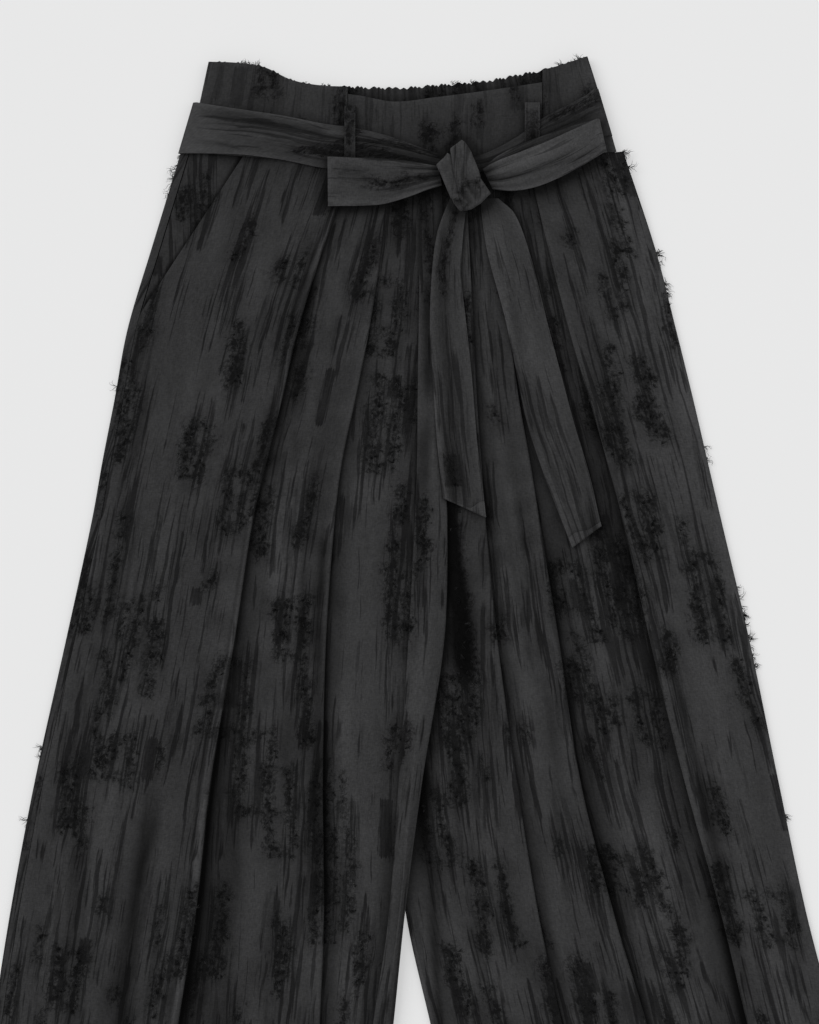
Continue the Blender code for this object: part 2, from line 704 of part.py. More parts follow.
def top_height(trees, across, down, wide, long):
    """The highest point near a place, looking wide to both sides and long up and down."""
    top = 0.0
    for i in range(-2, 3):
        for k in range(-2, 3):
            spot = point(across + wide * i / 2, down + long * k / 2, 0) * MM
            spot.z = 1.0
            hits = [tree.ray_cast(spot, Vector((0, 0, -1)))[0] for tree in trees]
            top = max([hit.z / MM for hit in hits if hit] + [top])
    return top


def tail_rows(table, ends, trees):
    left = Curve([row[0] for row in table], [row[1] for row in table])
    right = Curve([row[0] for row in table], [row[2] for row in table])
    start, length = table[0][0], sum(ends) / 2 - table[0][0]
    count = round(length / TAIL_ROW_LENGTH)
    rows = []
    for i in range(count + 1):
        row = []
        for k in range(TAIL_COLUMNS):
            share = k / (TAIL_COLUMNS - 1)
            down = lerp(start, lerp(*ends, share), i / count)
            across = lerp(left(down), right(down), share)
            wide = (right(down) - left(down)) / (TAIL_COLUMNS - 1)
            lying = top_height(trees, across, down, wide, length / count) + TAIL_GAP + SASH / 2
            falling = lerp(TAIL_START_HEIGHT, lying, ease((down - start) / TAIL_SETTLES))
            row.append(point(across, down, max(lying, falling)))
        rows.append(row)
    return rows


def belt_loop_rows(across, start, end, width, behind):
    over = LOOP_UNDER_SASH if behind else LOOP_OVER_SASH
    foot = LOOP_FOOT_BACK if behind else LOOP_FOOT_FRONT
    rows = []
    for down in (start, start + 3, start + LOOP_BEND, (start + end) / 2, end - LOOP_BEND, end - 3, end):
        off = min(down - start, end - down)
        height = lerp(foot, over, ease((off - 1) / (LOOP_BEND - 1)))
        rows.append([point(across + width * share, down, height) for share in (-0.5, 0, 0.5)])
    return rows


# ---------------------------------------------------------------- the garment


def build():
    for old in list(bpy.data.objects):
        bpy.data.objects.remove(old)
    cloth = make_material("charcoal_jacquard", (0.032, 0.032, 0.033), 0.9)
    sash = make_material("sash_jacquard", (0.036, 0.036, 0.037), 0.85)
    band = make_material("waistband_jacquard", (0.03, 0.03, 0.031), 0.9)
    facing = make_material("pocket_facing", (0.028, 0.028, 0.029), 0.9)

    for side in ("left", "right"):
        front = "front_" + side
        rows = [front_section(front, share) for share in leg_shares()]
        wall(front, rows, CLOTH, cloth)
        rows = [back_section(side, share) for share in leg_shares()]
        wall("back_" + side, rows, CLOTH, cloth)
    wall("pocket_facing_left", facing_rows("left", left_facing), FACING, facing)
    wall("pocket_facing_right", facing_rows("right", right_facing), FACING, facing)
    wall("waistband_front", front_band_rows(), BAND, band)
    wall("waistband_back", casing_rows(), CASING, band)
    wall("sash_band", sash_rows(), SASH, sash)
    wall("bow_loop_left", bow_loop_rows("left", LOOP_LEFT), SASH, sash)
    wall("bow_loop_right", bow_loop_rows("right", LOOP_RIGHT), SASH, sash)
    knot(sash)
    trees = surface_tree(["front_left", "front_right"])
    wall("sash_tail_left", tail_rows(TAIL_LEFT, TAIL_LEFT_END, trees), SASH, sash)
    wall("sash_tail_right", tail_rows(TAIL_RIGHT, TAIL_RIGHT_END, trees), SASH, sash)
    for name, sizes in BELT_LOOPS.items():
        wall(name, belt_loop_rows(*sizes), LOOP, band)


build()
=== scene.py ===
"""Wide-leg hakama trousers with a sash tied in a bow, laid flat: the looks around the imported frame.

Places are in millimetres, as a cutter would mark them on the garment: "down" runs from the waist
to the hems, "across" from the middle to the right as seen from above, "height" up from the
surface that the cloth lies on.
"""

import json
from math import cos, pi, radians, sin

import bpy
import numpy as np
from mathutils import Euler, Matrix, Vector, noise
from mathutils.bvhtree import BVHTree

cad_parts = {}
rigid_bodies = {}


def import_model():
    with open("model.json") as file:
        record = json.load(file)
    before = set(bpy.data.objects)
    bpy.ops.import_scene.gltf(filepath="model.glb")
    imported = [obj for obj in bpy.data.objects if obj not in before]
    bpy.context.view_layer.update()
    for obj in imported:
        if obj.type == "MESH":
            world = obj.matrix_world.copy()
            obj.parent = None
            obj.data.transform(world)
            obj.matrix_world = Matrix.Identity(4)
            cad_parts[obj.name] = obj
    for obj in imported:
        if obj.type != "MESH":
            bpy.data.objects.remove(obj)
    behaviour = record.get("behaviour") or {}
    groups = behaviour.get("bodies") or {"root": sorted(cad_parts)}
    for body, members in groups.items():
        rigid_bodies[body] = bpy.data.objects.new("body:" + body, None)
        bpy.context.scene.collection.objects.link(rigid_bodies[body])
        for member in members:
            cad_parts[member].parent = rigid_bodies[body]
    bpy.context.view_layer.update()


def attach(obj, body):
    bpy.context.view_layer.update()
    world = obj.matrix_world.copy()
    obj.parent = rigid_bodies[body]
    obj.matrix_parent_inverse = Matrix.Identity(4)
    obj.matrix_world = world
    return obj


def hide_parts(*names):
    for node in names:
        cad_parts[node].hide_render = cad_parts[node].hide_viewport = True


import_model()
bpy.ops.object.select_all(action="DESELECT")

# ================================================================ backs of the legs
# Two wide panels of charcoal cloth with clipped jacquard streaks, which lie on the surface. The
# elastic waist gathers them at the top, and the left one wraps round the side on to the front.
MM = 0.001
WAIST_TO_MIDDLE = 491.1
MIDDLE_TO_ORIGIN = 1.75
# The lines that the legs are cut and laid along: where across they run at each station down.
DOWN = (93, 177, 251, 316, 372, 428, 539, 670, 793, 897, 985)
ACROSS = {
    "left_side": (-223, -249, -271, -283, -294, -304, -328, -357, -380, -396, -407),
    "right_side": (191, 219, 238, 254, 267, 280, 306, 333, 359, 386, 407),
    "left_front_inner": (19, 23.5, 25.5, 24.5, 22.5, 25.5, 22.7, 2.3, -13.8, -24.6, -35.2),
    "right_front_inner": (19.4, 23.9, 25.9, 24.9, 12, -8, -24.6, -26.5, -12.6, 10.7, 31),
    "left_back_inner": (-20, -11, -0.5, 7.6, 13.7, 19.5, 17, -3.7, -20, -30.6, -41.2),
    "right_back_inner": (-19.6, -10.6, -0.1, 8, 14, -2, -18.6, -20.5, -6.6, 16.7, 37),
}
WAIST_SEAM, WAIST_SEAM_RISE, WAIST_SEAM_MIDDLE, WAIST_SEAM_HALF = 96.0, 10.0, -15.0, 201.0
HEM_OUTER, HEM_INNER, HEM_SAG, HEM_WIDE = 955.0, 984.0, 10.0, 372.0
LEG_TOP = 93.0
LEG_CLOTH, SHARP_EDGE = 0.85, 55
SEAM_GAP, TOP_GAP = 0.3, 0.3
SIDE_SEAM_IN, UNDER_WRAP, WRAP_AT_WAIST = 7.4, 24.0, 0.35
BACK_AT_WAIST, BACK_ON_LEG, BACK_SETTLES = 4.8, 0.5, 175.0
ROLL_AT_WAIST, ROLL_ON_LEG = 1.5, 2.0
OVER_HEIGHT, OVER_FROM, OVER_FULL, OVER_AHEAD, OVER_RAMP = 6.0, 265.0, 350.0, 90.0, 82.0
BACK_GATHERS, BACK_GATHER_HEIGHT, BACK_GATHER_ENDS = 7, 1.5, 330.0
GATHER_MARGIN, GATHER_START = 72.0, 24.0
LEG_ROWS, BACK_ROWS, BACK_COLUMNS, EDGE_STEPS = 200, 130, 84, 7


def lerp(a, b, share):
    return a + (b - a) * share


def ease(share):
    share = np.clip(share, 0.0, 1.0)
    return share * share * (3 - 2 * share)


def swell(off, reach):
    """A soft swelling, 1 at its middle and gone some way past its reach."""
    return np.exp(-((off / reach) ** 2))


class Curve:
    """A smooth line through a short table of places and values."""

    def __init__(self, places, values):
        self.places, self.values = np.array(places, float), np.array(values, float)
        low = np.maximum(np.arange(len(places)) - 1, 0)
        high = np.minimum(low + 2, len(places) - 1)
        high[0] = 1
        self.slopes = (self.values[high] - self.values[low]) / (self.places[high] - self.places[low])

    def __call__(self, place):
        place = np.asarray(place, float)
        inside = np.clip(place, self.places[0], self.places[-1])
        i = np.clip(np.searchsorted(self.places, inside, "right") - 1, 0, len(self.places) - 2)
        span = self.places[i + 1] - self.places[i]
        t = (inside - self.places[i]) / span
        value = (
            self.values[i] * (2 * t**3 - 3 * t**2 + 1)
            + self.slopes[i] * span * (t**3 - 2 * t**2 + t)
            + self.values[i + 1] * (3 * t**2 - 2 * t**3)
            + self.slopes[i + 1] * span * (t**3 - t**2)
        )
        before, after = np.minimum(place - inside, 0), np.maximum(place - inside, 0)
        return value + self.slopes[0] * before + self.slopes[-1] * after


LINES = {name: Curve(DOWN, values) for name, values in ACROSS.items()}


def place_on_leg(line, share):
    """Across and down of a line of the garment, at a share of the leg's length."""
    end_across = line(DOWN[-1])
    side = "left" if end_across < 0 else "right"
    outer, inner = LINES[side + "_side"](DOWN[-1]), LINES[side + "_front_inner"](DOWN[-1])
    part = (end_across - outer) / (inner - outer)
    hem = lerp(HEM_OUTER, HEM_INNER, part) + HEM_SAG * 4 * part * (1 - part)
    down = lerp(waist_seam(line(LEG_TOP)) + TOP_GAP, hem, share)
    return line(down), down


def waist_seam(across):
    off = (across - WAIST_SEAM_MIDDLE) / WAIST_SEAM_HALF
    return WAIST_SEAM - WAIST_SEAM_RISE * off * off


def settle(at_waist, on_leg, settles, down):
    return lerp(at_waist, on_leg, ease((down - LEG_TOP) / (settles - LEG_TOP)))


def back_height(down):
    return settle(BACK_AT_WAIST, BACK_ON_LEG, BACK_SETTLES, down)


def side_radius(down):
    return settle(ROLL_AT_WAIST, ROLL_ON_LEG, BACK_SETTLES, down)


def over_height(across, down):
    """How far the left leg is lifted where it lies on the right one."""
    right_leg = np.minimum(LINES["right_front_inner"](down), LINES["right_back_inner"](down))
    raised = OVER_HEIGHT * ease((down - OVER_FROM) / (OVER_FULL - OVER_FROM))
    return raised * ease((across - right_leg + OVER_AHEAD) / OVER_RAMP)


def between(start, end, part, share):
    """Places between two places of one row, which bows like the waist seam and the hem."""
    bow = lerp(WAIST_SEAM_RISE / WAIST_SEAM_HALF**2, 4 * HEM_SAG / HEM_WIDE**2, share)
    bow = bow * (end[0] - start[0]) ** 2 * part * (1 - part)
    return lerp(start[0], end[0], part), lerp(start[1], end[1], part) + bow


def rumple(across, down, wide, long, seed):
    """Gentle unevenness from -1 to 1, in patches so wide and long."""
    x, y = np.broadcast_arrays(across / wide, down / long)
    values = [noise.noise(Vector((*spot, seed))) for spot in zip(x.ravel(), y.ravel())]
    return 1.6 * np.reshape(values, x.shape)


def edge_roll(edge, height, outward, radius, run, share=1.0, rise=-1):
    """A rounded edge from the panel to its end, bent by share of a half turn, as columns."""
    share = np.maximum(share, 0.2)
    bend, run = pi * share, np.maximum(0.4, run * share**6)
    reach = np.where(share > 0.5, radius, radius * np.sin(bend) + run * np.cos(bend))
    start = edge - outward * reach
    turn = bend * np.linspace(0, 1, EDGE_STEPS)
    along = np.linspace(0, 1, 5)[1:] * run
    across = [start + outward * radius * np.sin(turn)]
    across += [start + outward * (radius * np.sin(bend) + along * np.cos(bend))]
    level = [height + rise * radius * (1 - np.cos(turn))]
    level += [height + rise * (radius * (1 - np.cos(bend)) + along * np.sin(bend))]
    return np.hstack(across), np.hstack(level)


def columns(across, down, height, grain=np.nan, rows=LEG_ROWS):
    """Some columns of a panel, as arrays of one row by one column each."""
    wide = max(np.shape(part)[1] if np.ndim(part) == 2 else 1 for part in (across, down, height))
    return [np.broadcast_to(part, (rows, wide)).astype(float) for part in (across, down, height, grain)]


def side_by_side(parts):
    """Stretches of a panel joined into one grid of columns: all their acrosses, all their downs..."""
    return [np.hstack(values) for values in zip(*parts)]


def right_to_left(*grids):
    return [grid[:, ::-1] for grid in grids]


def length_along(across, height):
    """The cloth's length from its first column on, up and down over its folds."""
    steps = np.hypot(np.diff(across), np.diff(height))
    return np.cumsum(np.hstack([np.zeros((len(steps), 1)), steps]), axis=1)


def panel_from(parts):
    """Columns side by side; cloth hidden in a pleat takes its grain from what lies beside it."""
    across, down, height, grain = side_by_side(parts)
    down[0] = waist_seam(across[0]) + TOP_GAP
    hidden = np.isnan(grain[0])
    place = np.arange(len(hidden))
    grain = np.array([np.interp(place, place[~hidden], row[~hidden]) for row in grain])
    return across, down, height, grain, ~hidden


# The woven pattern's clipped places: bands of cut threads, often two beside a plain island, and
# flat dark blocks. They are scattered by a seed over each panel's grain, in millimetres.
SITE_WIDE, SITE_LONG, SITE_SHIFT = 47.0, 104.0, 0.34
# Of these places, the first share has a pair of bands, the next one band, then some small ones,
# and then a short one; the rest are left plain. A share of all places also has a flat block.
# Every length and radius below is in millimetres of cloth.
PAIRED, SINGLE, SCATTERED, SHORT, BLOCKED = 0.28, 0.48, 0.72, 0.86, 0.26
SPOT_PITCH, FAR = 8.0, -99.0


def scatter_bands(seed, low, high, start, end, wide=SITE_WIDE, long=SITE_LONG, full=1.0):
    """Bands and streaked zones as chains of spots with a radius, and blocks as boxes."""
    chance = np.random.default_rng(seed)
    bands, blocks, combed = [], [], []

    def chain(u, v, length, radius):
        count = max(3, round(length / SPOT_PITCH))
        sway = np.cumsum(chance.normal(0, 1.9, count))
        size = radius * chance.uniform(0.2, 1.25, count)
        level = v + np.linspace(-0.5, 0.5, count) * length
        bands.append(np.stack([u + sway - sway.mean(), level, size], 1))
        for _ in range(2):
            mid, level = u + chance.normal(0, 7), v + chance.normal(0, 30)
            half, size = chance.uniform(50, 130) / 2, chance.uniform(3, 11)
            spots = (mid, level - half, size * 0.4), (mid, level, size), (mid, level + half, size * 0.3)
            combed.append(np.array(spots))

    for column, u in enumerate(np.arange(low + wide / 2, high, wide)):
        for v in np.arange(start + long * (0.3 + 0.5 * (column % 2)), end, long):
            mid = u + chance.uniform(-SITE_SHIFT, SITE_SHIFT) * wide
            level = v + chance.uniform(-SITE_SHIFT, SITE_SHIFT) * long
            kind, length = chance.random() / full, chance.uniform(26, 84)
            if kind < PAIRED:
                half = chance.uniform(7, 14)
                chain(mid - half, level, length, chance.uniform(3, 6))
                chain(mid + half, level + chance.uniform(-14, 14), length * 0.9, chance.uniform(2, 5))
                if chance.random() < 0.6:
                    for end_level in (level - length / 2, level + length / 2):
                        x = np.linspace(mid - half, mid + half, 5)
                        tilt = chance.normal(0, 1.5, 5)
                        bands.append(np.stack([x, end_level + tilt, np.full(5, 0.9)], 1))
            elif kind < SINGLE:
                chain(mid, level, length, chance.uniform(3.5, 7.5))
            elif kind < SCATTERED:
                for _ in range(chance.integers(4, 10)):
                    spot = mid + chance.normal(0, 11), level + chance.normal(0, 27)
                    chain(*spot, chance.uniform(10, 44), chance.uniform(1.5, 5.0))
            elif kind < SHORT:
                chain(mid, level, chance.uniform(9, 20), chance.uniform(1.5, 3.5))
            if chance.random() < BLOCKED * full:
                corner = mid + chance.uniform(-14, 14), level + chance.uniform(-0.5, 0.3) * length
                blocks.append((*corner, chance.uniform(3.0, 7.0), chance.uniform(8, 28)))
    return bands, blocks, combed


def clipped_depth(bands, u, v):
    """How far inside a band of cut threads each place lies; negative outside."""
    depth, reach = np.full(u.shape, FAR), 20
    for chain in bands:
        near = (u > chain[:, 0].min() - reach) & (u < chain[:, 0].max() + reach)
        near &= (v > chain[:, 1].min() - reach) & (v < chain[:, 1].max() + reach)
        x, y = u[near], v[near]
        best = np.full(x.shape, FAR)
        for (x0, y0, r0), (x1, y1, r1) in zip(chain, chain[1:]):
            span = np.array((x1 - x0, y1 - y0))
            part = np.clip(((x - x0) * span[0] + (y - y0) * span[1]) / (span @ span), 0, 1)
            gap = np.hypot(x - x0 - part * span[0], y - y0 - part * span[1])
            best = np.maximum(best, lerp(r0, r1, part) - gap)
        depth[near] = np.maximum(depth[near], best)
    return depth


def block_depth(blocks, u, v):
    """How far inside a flat dark block each place lies; negative outside."""
    depth = np.full(u.shape, FAR)
    for mid, level, half_wide, half_long in blocks:
        inside = np.minimum(half_wide - np.abs(u - mid), half_long - np.abs(v - level))
        depth = np.maximum(depth, inside)
    return depth


def from_origin(across, down, height):
    """Places on the garment as x, y and z, still in millimetres."""
    return np.stack([across + MIDDLE_TO_ORIGIN, WAIST_TO_MIDDLE - down, height], -1)


def sew(name, across, down, height, u, v, thickness, material, pattern=((), (), ())):
    """A closed cloth wall through a grid of places, with its grain map and its woven pattern."""
    across, down, height, u, v = np.broadcast_arrays(across, down, height, u, v)
    rows, wide = across.shape
    spots = from_origin(across, down, height).reshape(-1, 3)
    index = np.arange(rows * wide).reshape(rows, wide)
    corners = (index[:-1, :-1], index[1:, :-1], index[1:, 1:], index[:-1, 1:])
    faces = np.stack(corners, -1).reshape(-1, 4)
    mesh = bpy.data.meshes.new(name)
    mesh.from_pydata((spots * MM).tolist(), [], faces.tolist())
    grain = mesh.uv_layers.new(name="grain")
    places = np.stack([u.ravel(), v.ravel()], -1)
    grain.data.foreach_set("uv", places[faces.ravel()].ravel().astype(np.float32))
    bands, blocks, combed = pattern
    depths = {
        "nap": clipped_depth(bands, u, v),
        "block": block_depth(blocks, u, v),
        "combed": clipped_depth(combed, u, v),
        # Painted shade and highlight for the cloth's colour, filled in once every piece is made.
        "painted_shade": np.zeros(u.shape),
    }
    for title, depth in depths.items():
        values = mesh.attributes.new(title, "FLOAT", "POINT").data
        values.foreach_set("value", depth.ravel().astype(np.float32))
    piece = bpy.data.objects.new(name, mesh)
    bpy.context.collection.objects.link(piece)
    mesh.materials.append(material)
    bpy.context.view_layer.objects.active = piece
    if thickness:
        solidify = piece.modifiers.new("thickness", "SOLIDIFY")
        solidify.thickness, solidify.offset = thickness * MM, 0
        bpy.ops.object.modifier_apply(modifier=solidify.name)
    piece.data.shade_smooth()
    piece.data.set_sharp_from_angle(angle=radians(SHARP_EDGE))
    return piece


def finish_piece(piece, flat, replaced):
    """Every piece takes its node's place; flat, the sheet's flat size, is not used."""
    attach(piece, "root")
    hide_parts(replaced)


class Yarn:
    """One value, colour or vector in a material's nodes; sums on it add the Math nodes."""

    def __init__(self, tree, socket=None):
        self.tree, self.socket = tree, socket

    def feed(self, made, inputs):
        """Sets a node's sockets, or links them where the value is itself a yarn."""
        for name, value in inputs.items():
            if isinstance(value, Yarn):
                self.tree.links.new(value.socket, made.inputs[name])
            else:
                made.inputs[name].default_value = value

    def node(self, kind, settings=None, inputs=None, output=0):
        made = self.tree.nodes.new(kind)
        for name, value in (settings or {}).items():
            setattr(made, name, value)
        self.feed(made, inputs or {})
        return Yarn(self.tree, made.outputs[output])

    def shade(self, inputs):
        self.feed(self.tree.nodes["Principled BSDF"], inputs)

    def math(self, operation, first, second=0.0):
        return self.node("ShaderNodeMath", {"operation": operation}, {0: first, 1: second})

    def __add__(self, other):
        return self.math("ADD", self, other)

    def __sub__(self, other):
        return self.math("SUBTRACT", self, other)

    def __rsub__(self, other):
        return self.math("SUBTRACT", other, self)

    def __mul__(self, other):
        return self.math("MULTIPLY", self, other)

    __radd__, __rmul__ = __add__, __mul__

    def sine(self):
        return self.math("SINE", self)

    def size(self):
        return self.math("ABSOLUTE", self)

    def most(self, other):
        return self.math("MAXIMUM", self, other)

    def least(self, other):
        return self.math("MINIMUM", self, other)

    def soft_step(self, low, high):
        inputs = {"Value": self, "From Min": low, "From Max": high}
        return self.node("ShaderNodeMapRange", {"interpolation_type": "SMOOTHSTEP"}, inputs)

    def dyed(self, plain, dark):
        """A colour from plain to dark as this value goes from 0 to 1."""
        return self.node("ShaderNodeMix", {"data_type": "RGBA"}, {0: self, 6: plain, 7: dark}, output=2)


def dye_bath(name):
    """A new material, and the yarn that spins its nodes."""
    material = bpy.data.materials.new(name)
    material.use_nodes = True
    return material, Yarn(material.node_tree)


GROUND = (0.0262, 0.0262, 0.0268)
STREAK = (0.0080, 0.0080, 0.0083)
CUT_THREADS = (0.0046, 0.0046, 0.0048)
TWILL_PITCH, TWILL_RELIEF = 0.62, 0.018


def jacquard(name, ground=1.0, streaks=1.0, seed=0.0, sheen=0.04):
    """Charcoal twill with dark lengthwise streaks, flat blocks and bands of clipped threads."""
    material, cloth = dye_bath(name)
    grain = cloth.node("ShaderNodeUVMap", {"uv_map": "grain"})
    u, v = (cloth.node("ShaderNodeSeparateXYZ", None, {0: grain}, output=i) for i in (0, 1))

    def cloudy(wide, long, number, detail=1.0, shift=0.0):
        """Noise in patches so wide and long on the cloth; each number gives another one."""
        places = {0: (u + shift) * (1 / wide), 1: v * (1 / long), 2: seed + number}
        spot = cloth.node("ShaderNodeCombineXYZ", None, places)
        inputs = {"Vector": spot, "Scale": 1.0, "Detail": detail, "Roughness": 0.55}
        return cloth.node("ShaderNodeTexNoise", {"noise_dimensions": "3D"}, inputs)

    def curls(wide, long, number, thin):
        """Thin winding lines, where the noise passes its middle."""
        return ((cloudy(wide, long, number, 1.0) - 0.5).size() * -thin + 1.0).most(0.0)

    def attribute(title):
        return cloth.node("ShaderNodeAttribute", {"attribute_name": title}, output=2)

    # Dark streaks run with the grain: clusters of fine lines, a few lone ones, and flat blocks.
    sway = (cloudy(30, 110, 1.3) - 0.5) * 10.0 + (cloudy(5, 20, 1.7) - 0.5) * 2.4
    ends = cloudy(2.4, 260, 2.2) - 0.5
    combed = (attribute("combed") + ends * 24 + (cloudy(8, 10, 2.4) - 0.5) * 6).soft_step(-2.5, 2.5)
    drifts = (cloudy(17, 110, 2.7, 2.0, sway) + ends * 0.22).soft_step(0.56, 0.61)
    clusters = combed.most(drifts)
    lines = cloudy(4.3, 120, 3.1, 3.0, sway).soft_step(0.50, 0.56) * clusters
    lone = cloudy(3.6, 80, 12.3, 1.0, sway).soft_step(0.66, 0.71)
    broad = cloudy(9.0, 100, 4.9, 2.0, sway).soft_step(0.50, 0.56) * (0.08 + 0.92 * clusters)
    ragged = cloudy(1.4, 30, 6.1, 2.0)
    block = (attribute("block") + (ragged - 0.5) * 9.0).soft_step(-0.8, 1.0) * (0.35 + ragged)
    streak = (0.85 * lines + 0.40 * broad).most(0.75 * lone).most(block).least(1.0) * streaks

    # Bands of clipped threads: a dark core with lighter curls and pits, and curls round its edge.
    wander = (cloudy(9, 13, 7.1) - 0.5) * 15.0
    pits = cloudy(4.8, 6.4, 7.3, 2.0).soft_step(0.42, 0.58)
    depth = attribute("nap") + wander + (cloudy(3.3, 4.2, 8.9) - 0.5) * 14.0
    worn = (0.60 + 0.55 * pits - 0.55 * curls(4.6, 5.8, 7.7, 13.0)).most(0.0).least(1.0)
    around = depth.soft_step(-6.0, -1.0) * curls(4.2, 4.6, 7.9, 11.0)
    nap = (depth.soft_step(-2.4, 1.6) * worn).most(around * 0.7)

    # The twill's own tone and random mottling, with broad patches of painted shade like soft folds,
    # times the painted shade and highlights held on each piece, and darker near the clipped bands.
    weave = cloudy(3.2, 0.95, 8.3, 0.0) * 0.5 + cloudy(0.95, 3.2, 8.5, 0.0) * 0.5
    heather = cloudy(0.95, 1.25, 8.3, 2.0)
    mottle = cloudy(14, 60, 9.3, 2.0)
    # Broad soft patches of painted shade, standing in for the shade of soft folds.
    painted_drape_shade = cloudy(46, 120, 9.9)
    darker_near_bands = (attribute("nap") + wander).soft_step(-17.0, -1.0) * 0.20
    light = (0.90 * weave + 0.30 * heather + 0.45 * mottle + 0.35 * painted_drape_shade) * (1 - attribute("painted_shade"))
    light = light * (1 - darker_near_bands)
    shade = cloth.node("ShaderNodeCombineXYZ", None, {0: light, 1: light, 2: light})
    colour = streak.dyed((*(ground * c for c in GROUND), 1), (*STREAK, 1))
    colour = nap.dyed(colour, (*CUT_THREADS, 1))
    multiply = {"data_type": "RGBA", "blend_type": "MULTIPLY"}
    colour = cloth.node("ShaderNodeMix", multiply, {0: 1.0, 6: colour, 7: shade}, output=2)
    twill = ((u + v) * (2 * pi / TWILL_PITCH)).sine()
    relief = twill * TWILL_RELIEF + heather * 0.10 - streak * 0.10 + nap * 0.7
    bump = cloth.node("ShaderNodeBump", None, {"Strength": 0.9, "Distance": MM, "Height": relief})
    cloth.shade({"Base Color": colour, "Roughness": 0.86 + nap * 0.12, "Normal": bump})
    cloth.shade({"Specular IOR Level": 0.04, "Sheen Weight": sheen, "Sheen Roughness": 0.6})
    return material


leg_cloth = jacquard("leg_jacquard")
for number, side in enumerate(("left", "right")):
    share = np.linspace(0, 1, BACK_ROWS)[:, None] ** 1.2
    faces = 1 if side == "left" else -1
    inner_down = place_on_leg(LINES[side + "_front_inner"], share)[1]
    inner = LINES[side + "_back_inner"](inner_down) - faces * SEAM_GAP / 2
    outer, outer_down = place_on_leg(LINES[side + "_side"], share)
    radius = side_radius(outer_down)
    if side == "left":
        level = back_height(outer_down) + over_height(outer, outer_down)
        wrap = edge_roll(outer, level, -1, radius, SIDE_SEAM_IN - radius, rise=1)
        outer = wrap[0][:, :1]
    else:
        outer = outer - UNDER_WRAP - SEAM_GAP
    part = np.linspace(0, 1, BACK_COLUMNS)
    across, down = between((inner, inner_down), (outer, outer_down), part, share)
    fade = 1 - ease((down - LEG_TOP) / (BACK_GATHER_ENDS - LEG_TOP))
    fade = fade * ease((np.abs(across - outer) - GATHER_MARGIN) / GATHER_START)
    wave = 0.5 - 0.5 * np.cos(2 * pi * BACK_GATHERS * (across - inner) / (outer - inner))
    height = back_height(down) + BACK_GATHER_HEIGHT * fade * wave
    if side == "left":
        height = height + over_height(across, down)
    middle = (inner + outer) / 2
    grain = across - middle + middle[BACK_ROWS // 2]
    parts = [columns(across, down, height, grain, BACK_ROWS)]
    if side == "left":
        turn = grain[:, -1:] - np.linspace(0, 12, wrap[0].shape[1] - 1)
        parts.append(columns(wrap[0][:, 1:], outer_down, wrap[1][:, 1:], turn, BACK_ROWS))
    across, down, height, grain, _ = panel_from(parts)
    pattern = scatter_bands(11 + number, grain.min(), grain.max(), 80, 990)
    if side == "left":
        across, down, height, grain = right_to_left(across, down, height, grain)
    piece = sew("back_cloth_" + side, across, down, height, grain, down, LEG_CLOTH, leg_cloth, pattern)
    finish_piece(piece, (0.47, 0.92), "back_" + side)

# ================================================================ fronts of the legs
# Each front is one panel with three knife pleats let into the waist seam, two towards the side
# and one the other way, which open as they fall. They are pressed only at the top.
ACROSS_PLEATS = {
    "outer_pleat_left": (-60, -90, -113, -128, -142, -155, -172, -194, -208, -224.5, -237),
    "middle_pleat_left": (-29, -36, -47, -60, -72, -79, -87, -90, -89, -93, -97),
    "inner_pleat_left": (1.4, 0.5, -0.5, -1.4, -2, -4, -10, -19, -28, -43, -54),
    "inner_pleat_right": (42, 46, 50, 53, 57, 61, 72, 90, 110, 132, 150),
    "middle_pleat_right": (66, 75, 83, 92, 102, 111, 129, 149, 180, 211, 234),
    "outer_pleat_right": (100, 120, 139, 158, 174, 189, 214, 246, 280, 305, 329),
}
LINES.update({name: Curve(DOWN, values) for name, values in ACROSS_PLEATS.items()})
RIGHT, LEFT = 1, -1
# The line, the way its edge faces, its depth at waist and hem, its layers' pitch at the hem,
# and how much its edge is rounded up.
PLEATS = {
    "left": (
        ("outer_pleat_left", RIGHT, 26, 22, 3.0, 1.0),
        ("middle_pleat_left", RIGHT, 14, 12, 2.4, 0.6),
        ("inner_pleat_left", LEFT, 9, 7, 1.7, 0.3),
    ),
    "right": (
        ("inner_pleat_right", RIGHT, 11, 12, 1.7, 0.3),
        ("middle_pleat_right", RIGHT, 12, 14, 2.6, 0.6),
        ("outer_pleat_right", LEFT, 26, 22, 3.4, 0.8),
    ),
}
PITCH, PLEATS_OPEN, PLEAT_LAP, LIP_REACH = 1.35, 1.4, 1.5, 5
FREE_PITCH, FLAP_COLUMNS = 3.3, 15
RETURN_STEPS, UNDER_STEPS = (0.35, 0.7, 1.0), (0.4, 0.75, 0.88, 1.0)
